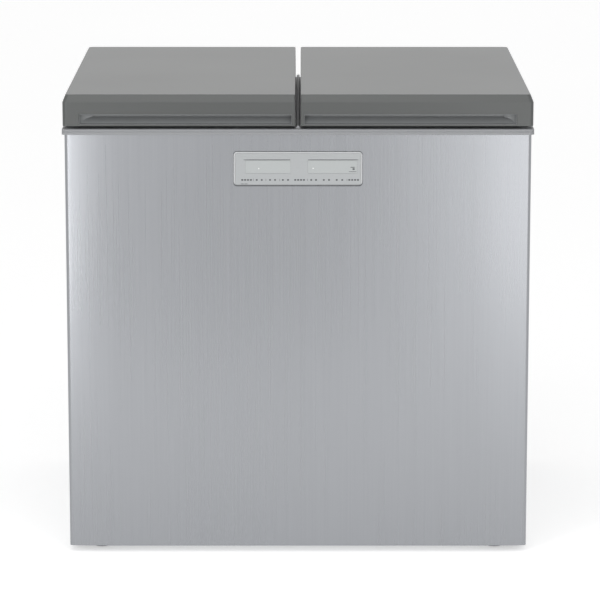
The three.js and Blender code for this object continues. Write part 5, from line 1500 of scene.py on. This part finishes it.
@dataclass
class Lid:
    """A lid: painted cover, the lining of its finger grip, paler than the cover as painted light in the
    recess, liner and gasket.
    """

    side: str
    sign: int
    wall: float = 2.5 * MM
    crown_setback: float = 6 * MM  # sloping band along the top of the front and outer side
    crown_drop: float = 15 * MM
    band_radius: float = 7 * MM
    top_radius: float = 1.9 * MM
    corner: float = 8 * MM
    inner_corner: float = 2.5 * MM
    least: Point = (1.2 * MM, 0.8 * MM)  # outer and inner corners that an inset has used up
    inner_edge: float = 3 * MM  # rounding along the top of the inner side, as seen from above
    rear_edge: float = 1.2 * MM
    grip_depth: float = 19 * MM
    grip_height: float = 22 * MM
    grip_lip: float = 2.5 * MM
    grip_floor: float = 0.28  # its floor and its roof run in by these shares of its depth
    grip_roof: float = 0.4
    grip_lower: float = 6 * MM  # its back starts this far below its roof
    grip_arch: float = 1 * MM
    grip_rounds: Point = (7 * MM, 4 * MM, 3 * MM, 4 * MM)
    grip_steps: int = 14
    lining: float = 1.0 * MM
    lining_setback: float = 0.6 * MM
    outer_post: float = 32 * MM
    inner_post: float = 6 * MM
    grip_sweep: float = 34 * MM
    notch_reach: float = 14 * MM
    notch_half: float = 29 * MM
    plug_depth: float = 24 * MM
    plug_clearance: float = 10 * MM
    plug_wall: float = 2 * MM
    plug_slope: float = 4 * MM
    plug_edge: float = 3 * MM
    step_inset: float = 44 * MM
    step_rise: float = 3 * MM
    liner_plate: float = 2 * MM
    gasket_inner: float = 4 * MM
    gasket_outer: float = 18 * MM
    gasket_fold: float = 3 * MM
    gasket_bar: Point = (0.3 * MM, 1 * MM)  # how far the lower bar's side and foot are set in
    steps: int = 6
    rear_steps: int = 8

    def __post_init__(self) -> None:
        """Read the lid's places, as they are on the right side, from the construction."""
        cover = Extent.of("lid_cover_right")
        pin = Extent.of("hinge_pin_right_inner").centre
        self.axis_y, self.axis_z = pin.y, pin.z
        self.x0, self.x1 = cover.x0, cover.x1
        self.front, self.rear = cover.y0, cover.y1
        self.under, self.top = cover.z0, cover.z1
        self.reach = self.rear - self.axis_y
        self.hinges = [Extent.of(f"hinge_leaf_right_{end}").centre.x for end in HINGE_ENDS]

    @property
    def body(self) -> str:
        """The moving body of this lid."""
        return f"lid_{self.side}"

    def plan(self, inset: float, crown: float, rear: float, pull: float = 0.0) -> Plan:
        """Draw the lid from above.

        Args:
            inset: How far it is pulled in all round.
            crown: How far the front and the outer side are set back besides.
            rear: Y of the rear edge before the inset.
            pull: How far the inner side is pulled in besides.

        Returns:
            The outline's points.
        """
        rounds = zip((self.corner, self.inner_corner), self.least)
        outer, inner = (max(radius - inset, least) for radius, least in rounds)
        x0, x1 = self.x0 + inset + pull, self.x1 - inset - crown
        y0, y1 = self.front + inset + crown, rear - inset
        return outline([(x0, y0, inner), (x1, y0, outer), (x1, y1, outer), (x0, y1, inner)], self.steps)

    def _side_profile(self) -> list[tuple[float, float]]:
        """Return (setback, height) from the front's upper part over the sloping band to the top face."""
        low = self.top - 2 * self.crown_drop
        corners = [
            (-PAST, low),
            (0.0, low),
            (0.0, self.top - self.crown_drop, self.band_radius),
            (self.crown_setback, self.top, self.top_radius),
            (3 * self.crown_setback, self.top),
        ]
        return [(p.x, p.y) for p in outline(corners, self.steps)[2:-1]]

    def shell(self, inset: float, bottom: float) -> Solid:
        """Return the lid's whole body from a level up; its rear lower edge is round about the hinge axis."""
        radius = self.reach - inset
        lowest = math.asin(min((self.axis_z - self.under) / radius, 0.97))

        def rear(angle: float) -> float:
            return self.axis_y + radius * math.cos(angle) + inset

        foot = self.plan(inset, 0.0, rear(lowest))
        rings = [(foot, bottom), (foot, self.under)]
        for k in range(self.rear_steps - 1, -1, -1):
            angle = lowest * k / self.rear_steps
            rings.append((self.plan(inset, 0.0, rear(angle)), self.axis_z - radius * math.sin(angle)))
        for setback, height in self._side_profile():
            share = max(0.0, (height - self.top + self.top_radius) / self.top_radius)
            turned = 1 - math.sqrt(max(0.0, 1 - share * share))
            rear_line, pull = self.rear - self.rear_edge * turned, self.inner_edge * turned
            rings.append((self.plan(inset, setback, rear_line, pull), height - inset))
        rising = [rings[0]]
        rising += [ring for ring, below in zip(rings[1:], rings) if ring[1] > below[1] + WELD]
        return Solid.levels(rising)

    def grip(self, grow: float) -> Solid:
        """Return the hollow of the finger grip, grown outwards."""
        bottom = self.under + self.grip_lip - grow
        top = self.under + self.grip_lip + self.grip_height + grow
        back = self.front + self.grip_depth + grow
        ahead, deep = self.front - PAST, self.grip_depth + grow
        floor, roof = (self.front + self.grip_depth * share for share in (self.grip_floor, self.grip_roof))
        upper = top + self.grip_arch
        line = [(floor, bottom), (back, top - self.grip_lower), (back, upper), (roof, top)]
        corners = [(*point, radius) for point, radius in zip(line, self.grip_rounds)]
        section = outline([(ahead, bottom), *corners, (ahead, top - self.grip_arch)])
        x0, x1 = self.x0 + self.inner_post - grow, self.x1 - self.outer_post + grow
        angles = [math.pi / 2 * k / self.grip_steps for k in range(self.grip_steps + 1)]
        sweep = [(x1 - self.grip_sweep * (1 - math.cos(a)), self.front + deep * math.sin(a)) for a in angles]
        behind = back + PAST
        plan = outline([(x0, ahead), (x1, ahead), *sweep, (sweep[-1][0], behind), (x0, behind)])
        level = Solid.prism(plan, Axis.Z, bottom - PAST, top + PAST)
        return Solid.prism(section, Axis.X, self.x0, self.x1).within(level)

    def notches(self, grow: float) -> list[Solid]:
        """Return the rooms in the rear lower edge that the hinges stand in, grown outwards."""
        reach, half = self.notch_reach + grow, self.notch_half + grow
        y0, y1, z0, z1 = self.axis_y - reach, self.rear + PAST, self.under - PAST, self.axis_z + reach
        return [Solid.block((x - half, y0, z0), (x + half, y1, z1)) for x in self.hinges]

    def cover(self) -> None:
        """Make the painted cover."""
        hollow = self.shell(self.wall, self.under - PAST).cut(self.grip(self.wall), *self.notches(self.wall))
        solid = self.shell(0.0, self.under).cut(hollow, self.grip(0.0), *self.notches(0.0))
        node = f"lid_cover_{self.side}"
        piece(f"{node}_shell", solid.on_side(self.sign), Surface.LID, self.body, [node], soften=0.45 * MM)

    def grip_lining(self) -> None:
        """Line the finger grip with a thin tray, paler than the cover: painted light that lifts the recess's
        shade.
        """
        start = self.front + self.lining_setback
        slab = Solid.block((self.x0, start, self.under), (self.x1, self.rear, self.top))
        tray = self.grip(-SEAT).cut(self.grip(-SEAT - self.lining)).within(slab)
        name = f"lid_grip_lining_{self.side}"
        piece(name, tray.on_side(self.sign), Surface.GRIP, self.body, soften=0.2 * MM)

    def _plug_step(self, mouth: Mouth, level: float, grow: float, below: float) -> Solid:
        """Return the step in the plug's floor, from a level above the plug's lowest face, grown outwards."""
        inset = self.plug_clearance + self.step_inset - grow
        z, rise = self.under - self.plug_depth + level, self.step_rise
        rings = [(mouth.plan(inset), z - below)]
        rings += [(mouth.plan(inset + rise * share), z + rise * ease) for share, ease in swell(4)]
        return Solid.levels(rings)

    def liner(self, mouth: Mouth) -> None:
        """Make the liner: its flange in the cover and the dished plug."""
        slack = self.wall + SEAT
        low, plate_top = self.under - self.plug_depth, self.under + self.liner_plate
        slab = Solid.block((0.0, self.front, self.under), (self.x1, self.rear, plate_top))
        corner = Solid.block(
            (self.x0 - PAST, self.front - PAST, low),
            (self.x0 + self.inner_post, self.front + self.grip_depth, self.under + PAST),
        )
        flange = self.shell(slack, self.under).cut(self.grip(slack), corner, *self.notches(slack))
        foot, edge = self.plug_clearance + self.plug_slope, self.plug_edge
        rings = [(mouth.plan(foot + edge * inset), low + edge * rise) for inset, rise in quarter(5)]
        dish = Solid.levels([*rings, (mouth.plan(self.plug_clearance), self.under + self.liner_plate / 4)])
        inside = self.plug_clearance + self.plug_wall
        levels = [(inside + self.plug_slope, low + self.plug_wall)]
        levels += [(inside, self.under), (inside, plate_top + PAST)]
        hollow = Solid.levels([(mouth.plan(inset), z) for inset, z in levels])
        raised = self._plug_step(mouth, self.plug_wall, self.plug_wall / 2, self.plug_wall / 2)
        pressed = self._plug_step(mouth, 0.0, 0.0, PAST)
        solid = flange.within(slab).join(dish).cut(hollow).join(raised).cut(pressed)
        node = f"lid_liner_{self.side}"
        piece(f"{node}_sheet", solid.on_side(self.sign), Surface.LINER, self.body, [node], soften=0.3 * MM)

    def gasket(self, mouth: Mouth) -> None:
        """Make the magnetic gasket: a wide base, bellows and the bar that meets the collar."""
        box = Extent.of("lid_gasket_right")
        top, bottom, fold = box.z1, box.z0, self.gasket_fold
        third = (top - bottom) / 3
        side = [(0.0, top), (fold, top - third * 0.8), (fold * 0.4, top - third * 1.4)]
        flank, foot = self.gasket_bar
        side += [(fold, top - third * 2.0), (flank, bottom + third * 0.6), (foot, bottom)]
        profile = [(self.gasket_inner + inset, z) for inset, z in side]
        profile += [(self.gasket_outer - inset, z) for inset, z in reversed(side)]
        solid = Solid.levels([(mouth.plan(-out), z) for out, z in profile], loop=True)
        node = f"lid_gasket_{self.side}"
        piece(f"{node}_bellows", solid.on_side(self.sign), Surface.GASKET, self.body, [node], soften=0.2 * MM)

    def build(self, mouth: Mouth) -> None:
        """Make the lid's pieces over a mouth."""
        self.cover()
        self.grip_lining()
        self.liner(mouth)
        self.gasket(mouth)


@dataclass
class Hinge:
    """A hinge: bracket on the collar, leaf in the lid, pin, and at the outer end the lid's spring."""

    side: str
    sign: int
    end: str
    plate: float = 2.5 * MM
    eye: float = 10.5 * MM
    rise: float = 24 * MM
    bracket_half: float = 22 * MM
    leaf_half: float = 18 * MM
    strap_half: float = 28 * MM
    reach: float = 14 * MM
    pin: float = 4 * MM
    pin_head: float = 6.5 * MM
    pin_past: float = 3 * MM
    point_profile: Profile = ((-0.6, 0.0), (0.0, 0.6))
    head_profile: Profile = ((0.0, 0.0), (0.0, 0.8), (-1.0, 2.0))
    clearance: float = 0.3 * MM
    corner: float = 2 * MM
    edge: float = 0.4 * MM
    eye_steps: int = 24
    wire: float = 1.1 * MM
    coil: float = 7.6 * MM
    coil_room: float = 3 * MM  # left free beside the spring
    turns: int = 6
    steps: int = 28

    def _ear(self, x: float, level: float) -> Solid:
        """Return an ear with a round end about the axis, from a level to the eye."""
        radius = self.eye
        arc = [math.copysign(math.pi, level) * (k / self.eye_steps) for k in range(self.eye_steps + 1)]
        plan = [Vector((radius, level)), Vector((-radius, level))]
        plan += [Vector((-radius * math.cos(a), -radius * math.sin(a))) for a in arc]
        return Solid.prism(plan, Axis.X, x, x + self.plate)

    def _pair(self, half: float, level: float) -> list[Solid]:
        """Return the two ears whose outer faces are a half width either side."""
        return [self._ear(-half, level), self._ear(half - self.plate, level)]

    def _bore(self, half: float) -> Solid:
        """Return the hole for the pin through a part of a half width."""
        return Solid.bar(Axis.X, self.pin + self.clearance, -2 * half, 2 * half)

    def bracket(self, rear: float) -> Solid:
        """Return the bracket that stands on the collar."""
        floor, half = -self.rise + SEAT, self.bracket_half
        plan = rectangle(-half, half, -self.eye, rear, self.corner)
        base = Solid.prism(plan, Axis.Z, floor, floor + self.plate)
        return base.join(*self._pair(half, floor)).cut(self._bore(half))

    def leaf(self, rear: float) -> Solid:
        """Return the leaf under the roof of the lid's notch."""
        roof, half = self.reach - SEAT, self.strap_half
        plan = rectangle(-half, half, -self.reach + SEAT, rear, self.corner)
        strap = Solid.prism(plan, Axis.Z, roof - self.plate, roof)
        return strap.join(*self._pair(self.leaf_half, roof)).cut(self._bore(half))

    def bolt(self) -> Solid:
        """Return the pin with its head."""
        end = self.bracket_half + SEAT
        tip = -end - self.pin_past
        shank = [(0, tip), *at(self.point_profile, self.pin, tip), (self.pin, end)]
        profile = shank + at(self.head_profile, self.pin_head, end)
        profile.append((0, profile[-1][1]))
        return Solid.turned(profile, Axis.X, 40)

    def spring(self) -> Solid:
        """Return the torsion spring, with a leg on the bracket and one under the leaf."""
        room = 2 * self.leaf_half - 2 * self.plate - 2 * self.wire - self.coil_room
        floor, ceiling = -self.rise + self.plate + 2 * SEAT, self.reach - self.plate - 2 * SEAT
        count = self.turns * self.steps
        path = [Vector((-room / 2, -self.coil, floor))]
        for i in range(count + 1):
            angle = math.pi - i / self.steps * 2 * math.pi
            y, z = self.coil * math.cos(angle), self.coil * math.sin(angle)
            path.append(Vector((-room / 2 + room * i / count, y, z)))
        path.append(Vector((room / 2, -self.coil, ceiling)))
        return Solid.swept(path, self.wire, 14)

    def build(self, lid: Lid) -> None:
        """Make the hinge's pieces for a lid."""
        key = f"{self.side}_{self.end}"
        place = (lid.hinges[HINGE_ENDS.index(self.end)], lid.axis_y, lid.axis_z)
        rears = [Extent.of(f"{kind}_{key}").y1 - lid.axis_y for kind in ("hinge_bracket", "hinge_leaf")]
        made = (
            ("hinge_bracket", self.bracket(rears[0]), Surface.ZINC, "cabinet", self.edge),
            ("hinge_leaf", self.leaf(rears[1]), Surface.ZINC, lid.body, self.edge),
            ("hinge_pin", self.bolt(), Surface.SPRING, "cabinet", 0.0),
        )
        for kind, solid, finish, body, soften in made:
            node = f"{kind}_{key}"
            piece(f"{node}_formed", solid.moved(*place).on_side(self.sign), finish, body, [node], soften)
        if self.end == "outer":
            node = f"hinge_spring_{self.side}"
            coil = self.spring().moved(*place).on_side(self.sign)
            piece(f"{node}_wound", coil, Surface.SPRING, "cabinet", [node])


# ---------------------------------------------------------------- kimchi boxes


@dataclass
class KimchiBox:
    """A storage box and its lid, which lifts by a pull tab on each side."""

    row: str
    side: str
    wall: float = 2.2 * MM
    draft: float = 6 * MM
    corner: float = 26 * MM
    least: float = 3 * MM
    foot: float = 10 * MM
    rim: float = 5 * MM
    rim_inset: float = 2 * MM
    rim_height: float = 4 * MM
    rim_edge: float = 0.5 * MM
    rim_round: float = 0.8 * MM
    plate: float = 2.2 * MM
    skirt: float = 9 * MM
    raised: float = 6 * MM
    panel_inset: float = 26 * MM
    panel_slope: float = 4 * MM
    tab_half: float = 32 * MM
    tab_drop: float = 15 * MM
    tab: float = 2.4 * MM
    tab_root: float = 8 * MM
    tab_rounds: Point = (0.8 * MM, 2 * MM, 6 * MM)  # at its lower edge, at its bend and at its lower corners
    plate_round: float = 0.7 * MM
    panel_margin: float = 1 * MM
    valve_rim: Profile = ((0, -1), (18, -1), (18, 0.4), (17, 2.6), (16, 3), (11, 3))
    valve_knob: Profile = ((10, 2), (9, 3), (8.4, 4.6), (7.6, 5), (0, 4.4))
    steps: int = 8

    def __post_init__(self) -> None:
        """Read the box's place and size from the construction."""
        box = Extent.of(f"box_{self.row}_{self.side}")
        self.centre = Vector((box.centre.x, box.centre.y, box.z0))
        self.half_x = (box.x1 - box.x0) / 2 + self.rim_inset
        self.half_y = (box.y1 - box.y0) / 2 + self.rim_inset
        self.height = box.z1 - box.z0

    def plan(self, inset: float) -> Plan:
        """Draw the box from above, pulled in from its place by an inset."""
        x, y = self.half_x - inset, self.half_y - inset
        return rectangle(-x, x, -y, y, max(self.corner + self.rim - inset, self.least), self.steps)

    def taper(self, z: float) -> float:
        """Return how far the wall stands in from its rim at a height."""
        return (self.height - z) * self.draft / self.height

    def _rounded_foot(self, inset: float, low: float) -> list[tuple[Plan, float]]:
        """Return the rings of a rounded lower edge, from the floor up."""
        rings = []
        for still, risen in quarter(6):
            z = low + self.foot * risen
            rings.append((self.plan(inset + self.taper(z) + self.foot * still), z))
        return rings

    def body(self) -> None:
        """Make the box with its rolled rim."""
        top, under = self.height, self.height - self.rim_height
        outside = self._rounded_foot(self.rim, 0.0)
        outside.append((self.plan(self.rim + self.taper(under)), under))
        out, edge, wide = self.rim_inset, self.rim_edge, self.rim_round
        rim = [(self.plan(out + edge), under), (self.plan(out), under + edge)]
        rim += [(self.plan(out), top - wide), (self.plan(out + wide), top)]
        inner = self.rim + self.wall
        inside = [(self.plan(inner - edge), top), (self.plan(inner + self.taper(top)), top - edge)]
        inside += list(reversed(self._rounded_foot(inner, self.wall)))
        solid = Solid.levels([*outside, *rim, *inside]).moved(*self.centre)
        node = f"box_{self.row}_{self.side}"
        piece(f"{node}_moulded", solid, Surface.BOX, node, [node])

    def _tab(self, reach: float) -> Solid:
        """Return a pull tab that hangs outside the rim at +Y."""
        under, low = self.height + SEAT, self.height - self.tab_drop
        root, top = reach - self.tab_root, under + self.plate
        inner, outer = reach - self.rim_inset + SEAT, reach - self.rim_inset + self.tab
        corners = [(root, top), (root, under), (inner, under), (inner, low)]
        edge, bend, corner = self.tab_rounds
        profile = outline([*corners, (outer, low, edge), (outer, top, bend)], 5)
        half = self.tab_half
        sheet = Solid.prism(profile, Axis.X, -half, half)
        face = outline([(-half, low, corner), (half, low, corner), (half, 2 * under), (-half, 2 * under)])
        return sheet.within(Solid.prism(face, Axis.Y, root - 1 * MM, outer + PAST))

    def lid(self) -> None:
        """Make the lid: sealing skirt, raised middle, valve and pull tabs."""
        under = self.height + SEAT
        skirt = self.rim + self.wall + SEAT + self.taper(self.height - self.skirt)
        plate, inset, rim = self.plate, self.panel_inset, self.rim_inset
        top, low = under + plate, self.height - self.skirt
        levels = [(inset + self.panel_slope + plate, under + self.raised - plate), (inset + plate, under)]
        levels += [(skirt + plate, under), (skirt + plate, low), (skirt, low), (skirt, under), (rim, under)]
        levels += [(rim, top - self.plate_round), (rim + self.plate_round, top)]
        levels += [(inset - self.panel_margin, top)]
        slope, rise = self.panel_slope, self.raised - plate
        levels += [(inset + slope * share, top + rise * ease) for share, ease in swell(5)]
        rings = [(self.plan(pulled), z) for pulled, z in levels]
        valve = at(self.valve_rim + self.valve_knob, 0.0, 0.0)
        cap = Solid.turned(valve, Axis.Z, 40).moved(z=under + self.raised)
        long, short = self._tab(self.half_y), self._tab(self.half_x)
        tabs = [long, long.rotated(180, Axis.Z), short.rotated(90, Axis.Z), short.rotated(270, Axis.Z)]
        solid = Solid.levels(rings).join(cap, *tabs).moved(*self.centre)
        node = f"box_lid_{self.row}_{self.side}"
        piece(f"{node}_moulded", solid, Surface.BOX_LID, node, [node], soften=0.3 * MM)

    def build(self) -> None:
        """Make the box and its lid."""
        self.body()
        self.lid()


# ---------------------------------------------------------------- studio


@dataclass(frozen=True)
class Softbox:
    """A rectangular lamp that looks at a point."""

    name: str
    place: tuple[float, float, float]
    aim: tuple[float, float, float]
    width: float
    height: float
    power: float

    def build(self) -> None:
        """Add the lamp to the scene."""
        lamp = bpy.data.lights.new(self.name, "AREA")
        lamp.shape = "RECTANGLE"
        lamp.size, lamp.size_y = self.width, self.height
        lamp.energy = self.power
        thing = bpy.data.objects.new(self.name, lamp)
        thing.location = self.place
        thing.rotation_euler = (Vector(self.aim) - Vector(self.place)).to_track_quat("-Z", "Y").to_euler()
        thing.visible_camera = False
        bpy.context.scene.collection.objects.link(thing)


@dataclass
class Studio:
    """Pale floor, soft light and the camera at the photograph's viewing angle."""

    distance: float = 6.40  # camera to the lids' front
    height: float = 1.824
    pitch: float = 11.52  # degrees below level
    aside: float = 0.004
    frame_pixels: float = 600.0
    focal_pixels: float = 3289.0
    sensor: float = 36.0
    floor_size: float = 60.0
    floor_tones: Point = (0.955, 0.965)
    fill: float = 0.5  # light from all round, as a share of white
    floor_glow: float = 0.5  # lifts the floor to white where it is seen
    softboxes: tuple[Softbox, ...] = (
        Softbox("key_above", (-0.4, -2.2, 2.9), (0.0, -0.3, 0.7), 2.4, 1.8, 16.0),
        Softbox("strip_left", (-1.03, -2.3, 0.92), (-0.46, -0.38, 0.5), 0.34, 1.8, 8.5),
        Softbox("strip_right", (0.95, -2.3, 0.92), (0.4, -0.38, 0.5), 1.15, 1.8, 8.5),
    )

    def camera(self, front: float) -> None:
        """Place the camera.

        Args:
            front: Y of the lids' front face.
        """
        data = bpy.data.cameras.new("camera")
        data.sensor_width = self.sensor
        data.lens = self.focal_pixels / self.frame_pixels * self.sensor
        data.clip_start, data.clip_end = 0.1, 200.0
        thing = bpy.data.objects.new("camera", data)
        thing.location = (self.aside, front - self.distance, self.height)
        thing.rotation_euler = (math.radians(90 - self.pitch), 0.0, 0.0)
        bpy.context.scene.collection.objects.link(thing)
        bpy.context.scene.camera = thing

    def _seen_or_reflected(self, tree: Tree) -> Signal:
        """Return 1 for rays from the camera or off glossy and clear surfaces, and 0 for the rest."""
        path = tree.node("ShaderNodeLightPath")
        names = ("Is Camera Ray", "Is Glossy Ray", "Is Transmission Ray")
        camera, glossy, through = (Signal(tree, path.outputs[name]) for name in names)
        return (camera + glossy + through).math("MINIMUM", 1.0)

    def world(self) -> None:
        """Make surroundings that look white and light the object at a plain level."""
        world = bpy.data.worlds.new("studio")
        bpy.context.scene.world = world
        world.use_nodes = True
        tree = Tree(world.node_tree)
        tree.nodes.nodes.clear()
        seen = self._seen_or_reflected(tree)
        strength = seen * (1.0 - self.fill) + self.fill
        white = {"Color": (1.0, 1.0, 1.0, 1.0), "Strength": strength}
        background = tree.node("ShaderNodeBackground", {}, white)
        tree.node("ShaderNodeOutputWorld", {}, {"Surface": background.outputs[0]})

    def floor(self) -> None:
        """Lay a pale floor that keeps the object's shadow."""
        half = self.floor_size / 2
        mesh = bpy.data.meshes.new("floor")
        corners = [(p.x, p.y, 0.0) for p in rectangle(-half, half, -half, half, 0.0)]
        mesh.from_pydata(corners, [], [(0, 1, 2, 3)])
        thing = bpy.data.objects.new("floor", mesh)
        bpy.context.scene.collection.objects.link(thing)
        material = bpy.data.materials.new("floor")
        tree = Shader(material)
        cloud = tree.noise(0.8, 2.0)
        glow = self._seen_or_reflected(tree) * self.floor_glow
        inputs = {
            "Base Color": tree.mix(cloud, *((tone,) * 3 for tone in self.floor_tones)),
            "Roughness": 0.85,
            "Specular IOR Level": 0.2,
            "Emission Color": tree.mix(glow, (0.0,) * 3, (1.0,) * 3),
            "Emission Strength": 1.0,
        }
        shader = tree.node("ShaderNodeBsdfPrincipled", {}, inputs)
        tree.node("ShaderNodeOutputMaterial", {}, {"Surface": shader.outputs[0]})
        mesh.materials.append(material)
        thing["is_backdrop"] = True

    def build(self, front: float) -> None:
        """Set up the whole studio."""
        scene = bpy.context.scene
        scene.view_settings.view_transform = "Standard"
        self.camera(front)
        self.world()
        self.floor()
        for softbox in self.softboxes:
            softbox.build()


# ---------------------------------------------------------------- the whole refrigerator


@dataclass
class Refrigerator:
    """The refrigerator: what the construction holds, dressed or made again with finer edges."""

    frame: dict[str, object]

    def dress_construction(self) -> None:
        """Give every construction node the finish of its slot."""
        for entry in self.frame["record"]["subparts"]:
            thing = self.frame["nodes"][entry["node"]]
            thing.data.materials.clear()
            thing.data.materials.append(BY_SLOT[entry["material_slot"]].material())

    def build(self) -> None:
        """Make every visible piece."""
        self.dress_construction()
        mouth = Mouth.read()
        control = ControlPanel()
        Panels().build(control)
        control.build()
        Collar().build(mouth)
        Footing().build()
        Gland().build()
        for side, sign in SIDES:
            Tub(side, sign).build(mouth)
            lid = Lid(side, sign)
            lid.build(mouth)
            for end in HINGE_ENDS:
                Hinge(side, sign, end).build(lid)
            for row in ("front", "rear"):
                KimchiBox(row, side).build()


def corners() -> list[list[float]]:
    """Return the lowest and the highest corner of what is shown."""
    return [list(corner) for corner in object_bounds()]


def main() -> None:
    """Build the refrigerator and its studio."""
    logging.basicConfig(level=logging.INFO, format="%(message)s", stream=sys.stdout)
    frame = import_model()
    Studio().build(Extent.of("lid_cover_left", "lid_cover_right").y0)
    Refrigerator(frame).build()


if __name__ == "__main__":
    main()
